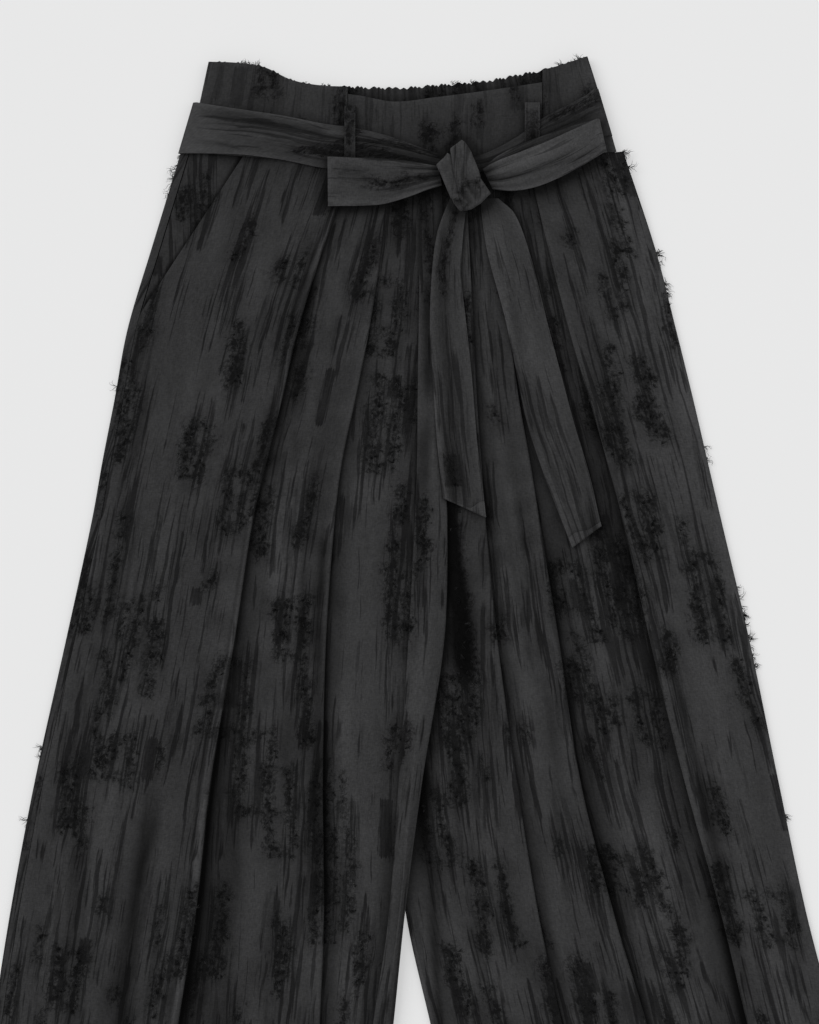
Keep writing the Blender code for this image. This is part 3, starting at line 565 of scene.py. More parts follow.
# Soft folds: down from and to, across at the start, middle and end, height, reach left and right.
SOFT_FOLDS = {
    "left": (
        (130, 640, -88, -105, -122, 2.5, 9, 5),
        (760, 1100, -342, -346, -352, 3.0, 8, 8),
        (650, 1100, -312, -316, -322, -3.5, 9, 9),
        (640, 1100, -236, -262, -276, -5.0, 14, 12),
        (500, 1000, -150, -165, -172, 3.0, 14, 18),
        (330, 900, -45, -50, -60, 3.5, 18, 18),
        (140, 520, -52, -66, -78, 1.6, 3, 5),
        (440, 900, -86, -88, -84, -2.6, 8, 9),
        (250, 700, -205, -232, -268, 1.4, 10, 7),
        (430, 800, -262, -282, -300, 1.6, 6, 12),
        (520, 960, -118, -130, -142, -1.8, 7, 6),
        (600, 1000, -352, -370, -384, -1.5, 6, 7),
        (240, 420, -168, -190, -205, 1.2, 8, 8),
        (560, 860, -28, -34, -44, 1.6, 5, 6),
    ),
    "right": (
        (560, 1100, -2, 8, 26, 3.5, 9, 4),
        (380, 1100, 84, 120, 172, 3.0, 16, 12),
        (240, 760, 112, 164, 206, 4.5, 18, 5),
        (470, 900, 204, 252, 300, -2.5, 5, 5),
        (590, 1100, 272, 300, 352, 3.5, 10, 12),
        (620, 920, 279, 292, 305, 1.8, 6, 6),
        (420, 700, 162, 184, 196, 1.6, 4, 6),
        (130, 420, 148, 172, 206, 1.3, 9, 9),
        (330, 640, 232, 256, 274, 1.5, 10, 8),
        (640, 1100, 62, 74, 96, 2.0, 8, 10),
        (660, 1100, 186, 208, 240, 2.2, 9, 7),
        (300, 620, 30, 40, 46, -1.5, 7, 7),
        (720, 1100, 354, 366, 386, 1.5, 6, 8),
    ),
}
SOFT_FADE = 70.0
# The laid cloth's unevenness between its folds: height, then how wide and long, and a seed.
RUMPLES = ((0.55, 15, 150, 3.3), (0.35, 7, 60, 5.1))
BILLOW, BILLOW_FROM, BILLOW_FULL = 4.6, 150.0, 420.0
FRONT_AT_WAIST, FRONT_ON_LEG, FRONT_SETTLES = 7.7, 2.2, 330.0
INSEAM_UNDER, INSEAM_FROM, INSEAM_FULL = 3.0, 335.0, 430.0
EDGE_REACH, COVER_REACH = 25.0, 24.0
PATTERN_SEED = {"left": 159, "right": 124}
# A band of clipped threads in the fold where the legs part, its dark core also painted shade
# of that deep fold: across, down and half its width.
FORK_TUFTS_AND_SHADE = (
    (33, 445, 1.0), (37, 480, 3.5), (41, 520, 7.0), (42, 560, 9.5), (38, 600, 7.0), (34, 625, 2.0),
)
POCKET_TOP, POCKET_FOOT = (-164.0, 91.0), (-262.0, 240.0)


def soft_folds(side, across, down):
    height = 0.0
    for start, end, first, middle, last, tall, left, right in SOFT_FOLDS[side]:
        share = (down - start) / (end - start)
        line = lerp(lerp(first, middle, share), lerp(middle, last, share), share)
        reach = np.where(across < line, left, right)
        fade = ease((down - start) / SOFT_FADE) * ease((end - down) / SOFT_FADE)
        height = height + tall * fade * swell(across - line, reach)
    return height


def front_ground(side, across, down, loft=0.0):
    """Height of the front's lowest layer; loft is the share of its billow between two folds."""
    low = settle(FRONT_AT_WAIST, FRONT_ON_LEG, FRONT_SETTLES, down)
    edge = back_height(down) + 2 * side_radius(down)
    facing = 1 if side == "left" else -1
    outer = facing * (across - LINES[side + "_side"](down))
    inner = facing * (LINES[side + "_front_inner"](down) - across)
    turned = ease((down - INSEAM_FROM) / (INSEAM_FULL - INSEAM_FROM))
    at_inner = (1 - ease(inner / EDGE_REACH)) * np.minimum(1, 4 * turned)
    near_edge = np.maximum(1 - ease(outer / EDGE_REACH), at_inner)
    full = ease((down - BILLOW_FROM) / (BILLOW_FULL - BILLOW_FROM))
    soft = np.minimum(1.0, 3 * loft)
    shape = BILLOW * full * loft + soft_folds(side, across, down) * soft
    if np.any(loft):
        uneven = sum(tall * rumple(across, down, *patch) for tall, *patch in RUMPLES)
        shape = shape + soft * uneven
    if side == "right":
        shape = shape * ease((across - LINES["left_front_inner"](down)) / COVER_REACH)
    height = lerp(low, np.maximum(low, edge), near_edge) + np.maximum(-0.5 * soft, shape)
    return height + (over_height(across, down) if side == "left" else 0)


def knife_pleat(side, row, share, grain_left, grain_right):
    """Columns of one pleat, left to right: its flap, rounded edge, return and under layer."""
    name, faces, waist_depth, hem_depth, hem_pitch, lip = row
    edge, down = place_on_leg(LINES[name], share)
    depth = lerp(waist_depth, hem_depth, share)
    pitch = lerp(PITCH, hem_pitch, ease(share * PLEATS_OPEN))
    lip = lip * ease(share * 3)
    toward = -faces
    turn, edge_turn = pitch / 2, (pitch + lip) / 2
    grains = (grain_left, grain_right)
    flap_grain, under_grain = grains if faces == RIGHT else grains[::-1]
    off = lerp(depth + PLEAT_LAP, edge_turn, 1 - np.linspace(1, 0, FLAP_COLUMNS) ** 1.4)
    rise = lip * swell(off - edge_turn, LIP_REACH)
    flap = edge + toward * off
    angle = np.linspace(90, -90, 6)[1:] * pi / 180
    edge_across = edge + toward * edge_turn - toward * edge_turn * np.cos(angle)
    edge_level = pitch + edge_turn + edge_turn * np.sin(angle)
    edge_grain = flap_grain(edge + toward * edge_turn) - toward * edge_turn * (pi / 2 - angle)
    back_off = lerp(edge_turn, depth - turn, np.array(RETURN_STEPS))
    bend = np.linspace(90, -90, 5)[1:] * pi / 180
    bend_across = edge + toward * (depth - turn) + toward * turn * np.cos(bend)
    under_off = lerp(depth - turn, -PLEAT_LAP, np.array(UNDER_STEPS))
    under = edge + toward * under_off
    under_u = np.where(np.arange(len(UNDER_STEPS)) > 0, under_grain(under), np.nan)
    made = [
        columns(flap, down, 2 * pitch + rise, flap_grain(flap)),
        columns(edge_across, down, edge_level, edge_grain),
        columns(edge + toward * back_off, down, pitch + 0 * back_off),
        columns(bend_across, down, turn + turn * np.sin(bend)),
        columns(under, down, 0 * under, under_u),
    ]
    for across, place, level, grain in made:
        level += front_ground(side, across, place)
    near = edge - toward * PLEAT_LAP, 0 * pitch
    far = edge + toward * (depth + PLEAT_LAP), 2 * pitch
    if faces == RIGHT:
        return made, far, near, down
    return [right_to_left(*stretch) for stretch in reversed(made)], near, far, down


def free_cloth(side, start, end, levels, share, grain):
    """Columns between two folds: from one layer's level to the other's, with a billow."""
    count = max(3, round(float((end[0] - start[0])[-1, 0]) / FREE_PITCH))
    part = np.linspace(0, 1, count + 1)[1:-1]
    across, down = between(start, end, part, share)
    height = front_ground(side, across, down, np.sin(pi * part) ** 2)
    height = height + lerp(levels[0], levels[1], ease(part))
    return columns(across, down, height, grain(across))


def gore_grain(left, right):
    """The grain of one stretch between two folds: threads run parallel to its middle."""
    middle = (left + right) / 2
    anchor = middle[len(middle) // 2]
    return lambda across: across - middle + anchor


def pocket_share(down):
    return (down - POCKET_TOP[1]) / (POCKET_FOOT[1] - POCKET_TOP[1])


def pocket_mouth(down):
    """Where the left pocket's slanted mouth runs."""
    return lerp(POCKET_TOP[0], POCKET_FOOT[0], pocket_share(down))


def run_under(down):
    """How far the right front goes on past the side, rolled on to the underside at its pocket."""
    return lerp(UNDER_WRAP * WRAP_AT_WAIST, UNDER_WRAP, np.minimum(1.0, pocket_share(down)))


def add_by_hand(pattern, bands=(), blocks=(), combed=()):
    """Adds chosen bands, flat blocks and streaked zones to a scattered pattern."""
    for kept, chosen in zip(pattern, (map(np.array, bands), blocks, map(np.array, combed))):
        kept.extend(chosen)


front_panels = {}
for side in ("left", "right"):
    share = np.linspace(0, 1, LEG_ROWS)[:, None] ** 1.15
    facing = RIGHT if side == "left" else LEFT
    inner, inner_down = place_on_leg(LINES[side + "_front_inner"], share)
    inner = inner - facing * SEAM_GAP / 2
    turned = ease((inner_down - INSEAM_FROM) / (INSEAM_FULL - INSEAM_FROM))
    level = front_ground(side, inner, inner_down)
    inner_roll = edge_roll(inner, level, facing, side_radius(inner_down), INSEAM_UNDER, turned)
    outer, outer_down = place_on_leg(LINES[side + "_side"], share)
    edges = [place_on_leg(LINES[row[0]], share)[0] for row in PLEATS[side]]
    bounds = [outer, *edges, inner] if side == "left" else [inner, *edges, outer]
    grains = [gore_grain(a, b) for a, b in zip(bounds, bounds[1:])]
    parts = []
    if side == "left":
        start = np.maximum(outer + SIDE_SEAM_IN + SEAM_GAP, pocket_mouth(outer_down))
        first = front_ground(side, start, outer_down)
        parts.append(columns(start, outer_down, first, grains[0](start)))
        place = (start, outer_down)
    else:
        rolled = right_to_left(*inner_roll)
        parts.append(columns(rolled[0], inner_down, rolled[1], grains[0](rolled[0])))
        place = (rolled[0][:, -1:], inner_down)
    levels = 0 * share
    for i, row in enumerate(PLEATS[side]):
        made, left, right, down = knife_pleat(side, row, share, grains[i], grains[i + 1])
        parts.append(free_cloth(side, place, (left[0], down), (levels, left[1]), share, grains[i]))
        parts += made
        place, levels = (right[0], down), right[1]
    if side == "left":
        end = (inner_roll[0][:, :1], inner_down)
        parts.append(free_cloth(side, place, end, (levels, 0), share, grains[-1]))
        parts.append(columns(inner_roll[0], inner_down, inner_roll[1], grains[-1](inner_roll[0])))
    else:
        radius = side_radius(outer_down)
        wrap = run_under(outer_down) - radius
        rolled = edge_roll(outer, back_height(outer_down) + 2 * radius, RIGHT, radius, wrap)
        end = (rolled[0][:, :1], outer_down)
        parts.append(free_cloth(side, place, end, (levels, 0), share, grains[-1]))
        around = grains[-1](end[0]) + length_along(*rolled)
        parts.append(columns(rolled[0], outer_down, rolled[1], around))
    across, down, height, grain, seen = panel_from(parts)
    pattern = scatter_bands(PATTERN_SEED[side], grain.min(), grain.max(), 70, 1010)
    if side == "right":
        add_by_hand(pattern, bands=(FORK_TUFTS_AND_SHADE,))
    name = "front_cloth_" + side
    piece = sew(name, across, down, height, grain, down, LEG_CLOTH, leg_cloth, pattern)
    front_panels[side] = (across, down, height, grain, seen, pattern, piece)
    finish_piece(piece, (0.47, 0.93), "front_" + side)

# ================================================================ pocket facings
# Under each slanted pocket mouth lies a facing of the same cloth, sewn in at the side seam.
# The left one shows on top between the mouth and the seam, the right one underneath.
FACING_GAP, FACING_CLOTH, POCKET_LAP = 0.9, 0.8, 12.0
FACING_SHARE, FACING_ROWS, FACING_BELOW = 0.176, 60, LEG_CLOTH + SEAM_GAP + 0.1
share = np.linspace(0, 1, FACING_ROWS)[:, None] * FACING_SHARE
side_line, down = place_on_leg(LINES["left_side"], share)
seam = side_line + SIDE_SEAM_IN + FACING_GAP
mouth = pocket_mouth(down)
top = back_height(down) + 2 * side_radius(down)
part = np.linspace(0, 1, 12)
under = front_ground("left", mouth, down) - FACING_BELOW
lap = mouth + POCKET_LAP
across = np.hstack([lerp(seam, np.maximum(mouth - 1.5, seam + 2), part), np.maximum(lap, seam + 4)])
height = np.hstack([lerp(top, under, ease(part)), front_ground("left", lap, down) - FACING_BELOW])
across, down, height, grain, _ = panel_from([columns(across, down, height, across, FACING_ROWS)])
pattern = scatter_bands(51, -280, -140, 70, 260)
piece = sew("pocket_facing_left_cloth", across, down, height, grain, down, FACING_CLOTH, leg_cloth, pattern)
finish_piece(piece, (0.10, 0.14), "pocket_facing_left")

side_line, down = place_on_leg(LINES["right_side"], share * 0.7)
low = back_height(down)
seam = side_line - UNDER_WRAP + FACING_GAP
mouth = side_line - run_under(down)
inside = low + FACING_BELOW
part = np.linspace(0, 1, 6)
across = np.hstack([lerp(seam, mouth - 1.5, part), np.minimum(mouth + 5, side_line - 3.5)])
height = np.hstack([lerp(low, inside, ease(part)), inside])
across, down, height, grain, _ = panel_from([columns(across, down, height, across, FACING_ROWS)])
piece = sew("pocket_facing_right_cloth", across, down, height, grain, down, FACING_CLOTH, leg_cloth)
finish_piece(piece, (0.03, 0.14), "pocket_facing_right")

# ================================================================ waistband
# A flat interfaced band across the front, and a casing round the sides and the back that is
# gathered on its elastic. Where they join, the casing's end is puckered.
# The top edges of both, across and down.
CASING_TOP = (
    (-195, 3), (-169, 4), (-144, 8), (-118, 20), (-90, 25), (-62, 26), (-20, 27),
    (22, 24), (59, 21), (96, 14), (124, 8), (155, -2),
)
FRONT_BAND_TOP = ((-66, 33), (-52, 35), (-23, 40), (14, 36), (61, 30), (114, 22))
CASING_SIDES = {"left": (-195, -213), "right": (155, 182)}
BAND_SEAMS = {"left": -66.5, "right": 114.0}
GATHERS, GATHER_HEIGHT, GATHER_FRILL, GATHER_COLUMNS = 22, 0.85, 1.6, 26
CASING_HEIGHT, BAND_HEIGHT, BAND_LONG = 5.6, 9.35, 90
BAND_CLOTH, CASING_CLOTH, TURN_COLUMNS = 1.6, 1.6, 9
# Puckers where the casing's two ends are sewn to the front band: height, reach and pitch.
PUCKERS = {"left": (0.95, 16, 5.2), "right": (0.85, 14, 5.6)}
STITCHED_ROWS = (0.12, 0.38, 0.64, 0.9)
# Zones chosen one by one: bands and streaked ones as across, along and half their width, blocks as
# their middle and half their width and length.
CASING_ZONES = {
    "bands": (
        ((-74, 24, 2.5), (-79, 36, 4.5), (-76, 50, 5.0), (-80, 64, 3.0)),
        ((-156, 4, 2.0), (-154, 18, 3.5), (-157, 32, 2.5)),
    ),
    "blocks": ((-176, 26, 7.0, 18.0),),
}
band_cloth = jacquard("waistband_jacquard", ground=1.04, streaks=0.55, seed=17.0)

band_share, share = np.linspace(0, 1, 120), np.linspace(0, 1, 34)[:, None]
across = lerp(BAND_SEAMS["left"] + SEAM_GAP, BAND_SEAMS["right"] - SEAM_GAP, band_share) + 0 * share
down = lerp(Curve(*zip(*FRONT_BAND_TOP))(across), waist_seam(across), share)
height = BAND_HEIGHT + 0.3 * np.sin(pi * share) * np.sin(pi * 4 * band_share)
height = height + 0.35 * np.sin(pi * share) * rumple(across, down, 9, 60, 2.2)
height = height - 0.25 * swell(share - 0.10, 0.02)
pattern = scatter_bands(124, -70, 118, 20, 100, wide=38, long=60, full=0.62)
waist_panels = [(across, down, height, across, down, pattern[0], BAND_CLOTH)]
piece = sew("waistband_front_cloth", across, down, height, across, down, BAND_CLOTH, band_cloth, pattern)
finish_piece(piece, (0.18, 0.13), "waistband_front")


def puckers(side, across, share, slant):
    tall, reach, pitch = PUCKERS[side]
    waves = np.sin(2 * pi * across / pitch + slant)
    return tall * swell(across - BAND_SEAMS[side], reach) * waves * np.sin(pi * share) ** 0.5


def casing_turn(edge, inward, start):
    """The casing's fold at one side, half a turn round from a starting angle."""
    bend = np.linspace(start, start + 180, TURN_COLUMNS) * pi / 180
    return edge + inward * radius + radius * np.cos(bend), middle + radius * np.sin(bend) + 0 * edge


casing_top = Curve(*zip(*CASING_TOP))
share = np.linspace(0, 1, 36)[:, None]
left, right = lerp(*CASING_SIDES["left"], share), lerp(*CASING_SIDES["right"], share)
radius, middle = (BAND_HEIGHT - CASING_HEIGHT) / 2, (BAND_HEIGHT + CASING_HEIGHT) / 2
front_part = np.linspace(0, 1, 90)[:-1]
across_left = lerp(BAND_SEAMS["left"] - SEAM_GAP, left + radius, front_part)
wave = 0.25 * np.sin(2 * pi * front_part * 3) * np.sin(pi * front_part)
uneven = 0.30 * rumple(across_left, share * BAND_LONG, 14, 40, 6.6) * np.sin(pi * front_part)
height_left = BAND_HEIGHT + wave + uneven
height_left = height_left + puckers("left", across_left, share, 1.5 * np.sin(4 * pi * share))

steps = GATHERS * GATHER_COLUMNS
part = np.arange(1, steps) / steps
across_back = lerp(left + radius, right - radius, part)
turns = 2 * pi * part
phase = 2 * pi * GATHERS * (part + 0.006 * np.sin(turns * 5) + 0.004 * np.sin(turns * 13))
stitched = 1 - 0.45 * sum(swell(share - row, 0.035) for row in STITCHED_ROWS)
fine = np.sin(3 * phase + 1.1 * np.sin(phase) + 0.8 * share)
gathers = 0.5 * np.sin(phase) + fine * (0.75 + 0.25 * np.sin(turns * 9))
height_back = CASING_HEIGHT + GATHER_HEIGHT * gathers * stitched

last_part = np.linspace(0, 1, 26)[1:]
across_right = lerp(right - radius, BAND_SEAMS["right"] + SEAM_GAP, last_part)
height_right = BAND_HEIGHT + puckers("right", across_right, share, share * 3)
uneven = 0.3 * rumple(across_right, share * BAND_LONG, 12, 40, 9.1) * (1 - last_part)
height_right = height_right + uneven

parts = [(across_left, height_left), casing_turn(left, 1, 90), (across_back, height_back)]
parts += [casing_turn(right, -1, -90), (across_right, height_right)]
across, height = side_by_side(parts)
frill = GATHER_FRILL * (0.45 * np.sin(phase) + 0.6 * fine[0])
frill = np.pad(frill, (front_part.size + TURN_COLUMNS, TURN_COLUMNS + last_part.size))
down = lerp(casing_top(across) + frill * (1 - share), waist_seam(across), share)
grain = -70 - length_along(across, height).mean(axis=0) + 0 * share
pattern = scatter_bands(148, -1000, -70, 0, 100, wide=34, long=56, full=0.62)
add_by_hand(pattern, **CASING_ZONES)
waist_panels.append((across, down, height, grain, down, pattern[0], CASING_CLOTH))
piece = sew("waistband_back_casing", across, down, height, grain, down, CASING_CLOTH, band_cloth, pattern)
finish_piece(piece, (0.95, 0.09), "waistband_back")

# ================================================================ sash
# A long flat tube of jacquard, passed through the belt loops, creased lengthwise by
# wearing, and gathered together where it runs into the knot.
SASH_CLOTH = 1.4
# Across, down and width in front, from the knot out on the left and from the side in on the right.
SASH_FRONT_LEFT = (
    (30, 99, 14), (12, 95, 17), (-14, 89, 24), (-38, 85, 31), (-64, 83, 38),
    (-90, 81, 41), (-125, 74, 41), (-160, 69, 41.5), (-190, 66, 44.5),
)
SASH_FRONT_RIGHT = (
    (155, 55, 42), (140, 62, 40), (115, 72, 34), (90, 86, 26), (66, 95, 18), (48, 99, 14),
)
SASH_BACK_DOWN, SASH_BACK_ACROSS = (64, 62, 60, 58, 56, 54), (-180, 142)
CASING_SIDE_DOWN = (3, 89)
SASH_ENDS_DOWN = {"left": 62, "right": 49}
SASH_FRONT_HEIGHT, SASH_BACK_HEIGHT, SASH_WIDTH = 12.0, 2.3, 42.0
SASH_SIDE_FOOT = {"left": 5.0, "right": 1.6}
SASH_BEYOND = {"left": (6.5, 10.5), "right": (2.4, 1.8)}  # past the casing, at its top and foot
# Its ground is painted lighter than the legs' cloth: light that the sash catches, painted into its colour.
sash_cloth = jacquard("sash_jacquard", ground=1.18, streaks=0.85, seed=31.0, sheen=0.05)


def crease(share, line, reach, tall):
    return tall * swell(share - line, reach)


share = np.linspace(0, 1, 26)[:, None]
radius = (SASH_FRONT_HEIGHT - SASH_BACK_HEIGHT) / 2
middle = (SASH_FRONT_HEIGHT + SASH_BACK_HEIGHT) / 2


def along_table(table, count):
    """Each column of a table, as a smooth line from its first row to its last."""
    along = np.linspace(0, len(table) - 1, count)
    return [Curve(range(len(table)), values)(along) for values in zip(*table)]


def sash_front(table, count):
    """Across, down and width of a front stretch."""
    x, d, w = along_table(table, count)
    return x, d + w * (share - 0.5), w


def sash_side(side, outward, start, end):
    down = SASH_ENDS_DOWN[side] + SASH_WIDTH * (share - 0.5) + SASH_SIDE_FOOT[side] * share
    low, high = CASING_SIDE_DOWN
    casing = lerp(*CASING_SIDES[side], (down - low) / (high - low))
    angle = np.linspace(start, end, 12)[1:-1] * pi / 180
    across = casing + outward * (lerp(*SASH_BEYOND[side], share) - radius) + radius * np.cos(angle)
    return across, down + 0 * angle, middle + radius * np.sin(angle) + 0 * down


x, d, w = sash_front(SASH_FRONT_LEFT, 110)
run = np.linspace(0, 1, 110)
h = SASH_FRONT_HEIGHT + crease(share, 0.28 + 0.05 * np.sin(run * 5), 0.045, -1.3) * ease(run * 4)
h = h + crease(share, 0.18, 0.07, 0.7)
h = h + crease(share, 0.62 - 0.1 * run, 0.10, 0.9) + crease(share, 0.86, 0.03, -0.5) * ease(run * 2)
h = h + 0.35 * rumple(x, d, 30, 9, 4.4) + 0.5 * (w < 34) * np.cos(2 * pi * share * 2) * (1 - run)
pieces = [(x + 0 * share, d, h)]
pieces.append(sash_side("left", -1, 90, 270))
start, end = SASH_BACK_ACROSS
x = np.linspace(start, end, 70)
line = Curve(range(len(SASH_BACK_DOWN)), SASH_BACK_DOWN)
d = line((x - start) / (end - start) * (len(SASH_BACK_DOWN) - 1)) + SASH_WIDTH * (share - 0.5)
h = SASH_BACK_HEIGHT + 0.35 * np.sin(pi * share) * (0.5 + 0.5 * rumple(x, d, 40, 14, 7.2))
pieces.append((x + 0 * share, d, h))
pieces.append(sash_side("right", 1, -90, 90))
x, d, w = sash_front(SASH_FRONT_RIGHT, 70)
run = np.linspace(0, 1, 70)
h = SASH_FRONT_HEIGHT + crease(share, 0.34 - 0.1 * run, 0.06, 1.2) + crease(share, 0.52, 0.05, -1.0)
h = h + crease(share, 0.74, 0.06, 1.0) + 0.3 * rumple(x, d, 26, 8, 8.8)
pieces.append((x + 0 * share, d, h))
across, down, height = right_to_left(*side_by_side(pieces))
along = length_along(across, height)
bands, _, combed = scatter_bands(71, 0, SASH_WIDTH, 0, 900, wide=30, long=80, full=0.45)
knot_end = along.max()
at_knot = np.array((0, knot_end, 0))
bands.append(at_knot + ((27, -158, 2.5), (24, -134, 6.0), (22, -110, 7.0), (25, -90, 5.0)))
combed.append(at_knot + ((20, -214, 5), (22, -140, 12), (24, -50, 6)))
# The long flat block 12 mm across the sash is painted shade along its lengthwise crease.
pattern = (bands, [(12.0, knot_end - 130, 1.8, 95)], combed)
width = share * SASH_WIDTH + 0 * along
sash_panels = [(across, down, height, width, along, bands, SASH_CLOTH)]
piece = sew("sash_band_cloth", across, down, height, width, along, SASH_CLOTH, sash_cloth, pattern)
finish_piece(piece, (0.045, 0.90), "sash_band")

# ================================================================ bow
# Two flat loops pulled out sideways from the knot; each runs out on its lower layer, round its
# end and back on the upper one, with a crease or two where the knot pinches it.
# From the knot out: its upper edge's across and down, its lower edge's, and its height.
LOOP_LEFT = (
    (17, 99.5, 20.5, 116.5, 18.4), (5, 97.8, 7, 121, 19.8), (-11, 96, -11, 128, 21.2),
    (-34, 94, -34, 134.5, 21.8), (-58, 92, -58, 136, 21.2), (-82.5, 90.4, -82, 136, 19.8),
)
LOOP_RIGHT = (
    (58.5, 102, 67.5, 120, 18.4), (71, 95, 86, 122, 20.0), (93, 86.5, 106, 119, 21.6),
    (116, 77.5, 126, 111.5, 22.2), (139, 67, 149, 99.5, 21.6), (163.5, 55.5, 170.5, 86.5, 20.2),
)
LOOP_FULL, LOOP_DOWN = {"left": 0.3, "right": 0.05}, 1.6
LOOP_UNDER_HEIGHT, LOOP_UNDER_SHIFT, LOOP_CROWN = 15.8, {"left": -2.0, "right": -8.0}, 1.6
# Creases of the upper layer: where across it at the knot and at the end, reach, height.
LOOP_CREASES = {
    "left": (
        (0.52, 0.50, 0.05, -0.9), (0.30, 0.22, 0.10, 0.7), (0.78, 0.80, 0.08, 0.6),
        (0.66, 0.40, 0.04, -0.6),
    ),
    "right": (
        (0.62, 0.52, 0.035, -1.5), (0.80, 0.76, 0.10, 0.9), (0.30, 0.25, 0.12, 1.0),
        (0.20, 0.10, 0.05, -0.7),
    ),
}
LOOP_ZONES = {
    "left": {
        "bands": (((22, 142, 1.2), (24, 162, 2.6), (21, 178, 3.0), (23, 196, 2.0)),),
        "combed": (
            ((16, 116, 3), (14, 134, 5), (17, 150, 2)),
            ((32, 150, 3), (31, 175, 5), (28, 205, 5)),
        ),
    },
    "right": {},
}
for side, table, outward in (("left", LOOP_LEFT, -1), ("right", LOOP_RIGHT, 1)):
    share = np.linspace(0, 1, 30)[:, None]
    x0, y0, x1, y1, top = along_table(table, 70)
    run = np.linspace(0, 1, 70)
    across, down = lerp(x0, x1, share), lerp(y0, y1, share)
    hidden = down + LOOP_UNDER_SHIFT[side] * np.sin(pi * run)
    pieces = [(across, hidden, LOOP_UNDER_HEIGHT + 0 * across)]
    radius = (top[-1] - LOOP_UNDER_HEIGHT) / 2
    angle = np.linspace(-90, 90, 12)[1:-1] * pi / 180
    end_across = across[:, -1:] + outward * radius * np.cos(angle)
    end_height = LOOP_UNDER_HEIGHT + radius + radius * np.sin(angle)
    pieces.append((end_across, down[:, -1:] + 0 * angle, end_height + 0 * share))
    height = top + LOOP_CROWN * np.sin(pi * share) * np.sin(pi * run)
    pinch = (1 - ease(run * 1.2)) * 0.9
    height = height + pinch * np.sin(2 * pi * share * 3 + 0.6)
    for at_knot, at_end, reach, tall in LOOP_CREASES[side]:
        height = height + crease(share, lerp(at_knot, at_end, run), reach, tall) * ease((1 - run) * 3)
    height = height + 0.3 * rumple(across, down, 26, 10, 2.9) * np.sin(pi * run)
    pieces.append(right_to_left(across, down, height))
    across, down, height = side_by_side(pieces)
    if outward > 0:
        across, down, height = right_to_left(across, down, height)
    lengths = length_along(across, height)
    pattern = scatter_bands(85 + outward, 0, SASH_WIDTH, 0, 240, wide=30, long=70, full=LOOP_FULL[side])
    add_by_hand(pattern, **LOOP_ZONES[side])
    name = "bow_loop_" + side
    down = down + LOOP_DOWN
    width = share * SASH_WIDTH + 0 * lengths
    sash_panels.append((across, down, height, width, lengths, pattern[0], SASH_CLOTH))
    piece = sew(name + "_cloth", across, down, height, width, lengths, SASH_CLOTH, sash_cloth, pattern)
    finish_piece(piece, (0.045, 0.24), name)

# ================================================================ knot
# The sash wrapped once over itself and pulled tight, as one skin over the roll of cloth inside:
# a flat upper wrap, a wedge folded under its left edge, and a pleated lower turn.
# The outline of each turn, across and down.
KNOT_TURNS = {
    "upper_wrap": (
        (28.1, 82.8), (38.9, 74.4), (41.9, 76.4), (47.2, 84.6), (51.2, 94.5), (54.6, 103.2),
        (56.0, 108.2), (56.0, 113.6), (45.0, 113.6), (38.5, 118.5), (36.9, 128.5), (35.6, 122.0),
        (31.5, 106.2), (29.6, 94.5),
    ),
    "left_wedge": (
        (22.7, 90.6), (27.4, 84.6), (31.2, 97.7), (34.2, 114.0), (37.4, 127.4), (35.8, 130.0),
        (31.1, 130.6), (28.9, 128.7), (24.6, 118.9), (19.8, 107.2), (15.3, 97.4),
    ),
    "lower_turn": (
        (31.5, 121.0), (38.0, 115.0), (46.0, 110.0), (56.2, 110.0), (65.8, 123.9), (56.0, 133.6),
        (47.2, 139.0), (37.4, 140.4), (30.4, 131.7),
    ),
}
# Bands and a streaked zone on the knot's lower turn; the first band, along its upper edge, is also painted
# shade under the upper wrap's edge.
KNOT_ZONES = {
    "bands": (((37, 121, 1.2), (43, 117, 1.6), (52, 115.5, 1.2)), ((33, 133, 1.6), (41, 137, 1.2))),
    "combed": (((38, 124, 5), (52, 124, 5)),),
}
KNOT_CENTRE, KNOT_DOWN, KNOT_RAYS = (41.0, 108.0), 2.6, 280
KNOT_FOOT, KNOT_EDGE, KNOT_DROP, KNOT_TUCK = 15.0, 2.0, 2.6, 1.6


def inside_depth(outline, x, y):
    """Distance to the nearest side of an outline, below nought outside it."""
    inside, nearest = np.zeros(x.shape, bool), np.full(x.shape, 1e3)
    for (x0, y0), (x1, y1) in zip(outline, (*outline[1:], outline[0])):
        wide, long = x1 - x0, y1 - y0
        part = np.clip(((x - x0) * wide + (y - y0) * long) / (wide**2 + long**2), 0, 1)
        nearest = np.minimum(nearest, np.hypot(x - x0 - part * wide, y - y0 - part * long))
        if long:
            inside ^= ((y0 > y) != (y1 > y)) & (x < wide * (y - y0) / long + x0)
    return np.where(inside, nearest, -nearest)


def turn_height(name, x, y):
    """The face of one turn of the knot, with its pleats, before its edge is rounded off."""
    if name == "upper_wrap":
        # A ridge beside its left edge, a dip behind the ridge, and fine slanting pleats.
        edge = 28.3 + 8.4 * ease((y - 84) / 40)
        top = 26.6 + 4.8 * ease((y - 72) / 34) - 0.045 * (x - 40) + 0.9 * swell(x - edge - 2.4, 1.5)
        return top - 0.7 * swell(x - edge - 6.0, 2.0) + 0.35 * np.sin((x + 0.25 * y) / 2.4)
    if name == "left_wedge":
        fold = 26.0 + 9.0 * (y - 88) / 42
        top = 26.4 + 0.16 * (x - 15) + 1.3 * ease((y - 95) / 25)
        return top + 0.8 * swell(x - fold, 2.2) - 0.6 * swell(x - fold - 3.4, 1.2)
    # The lower turn slopes off towards the hems and, past a ridge, to its right.
    pleat = (x - 30) / 6.2 - 0.12 * (y - 120)
    facet = np.minimum(0, 58.5 + 0.55 * (y - 116) - x)
    top = 28.8 - 0.16 * np.maximum(0, y - 122) + 0.30 * facet + 0.9 * swell(facet + 0.01, 1.3)
    return top + 1.25 * np.sin(2 * pi * pleat * 0.62) * ease((y - 112) / 8) * ease((61 - x) / 6)


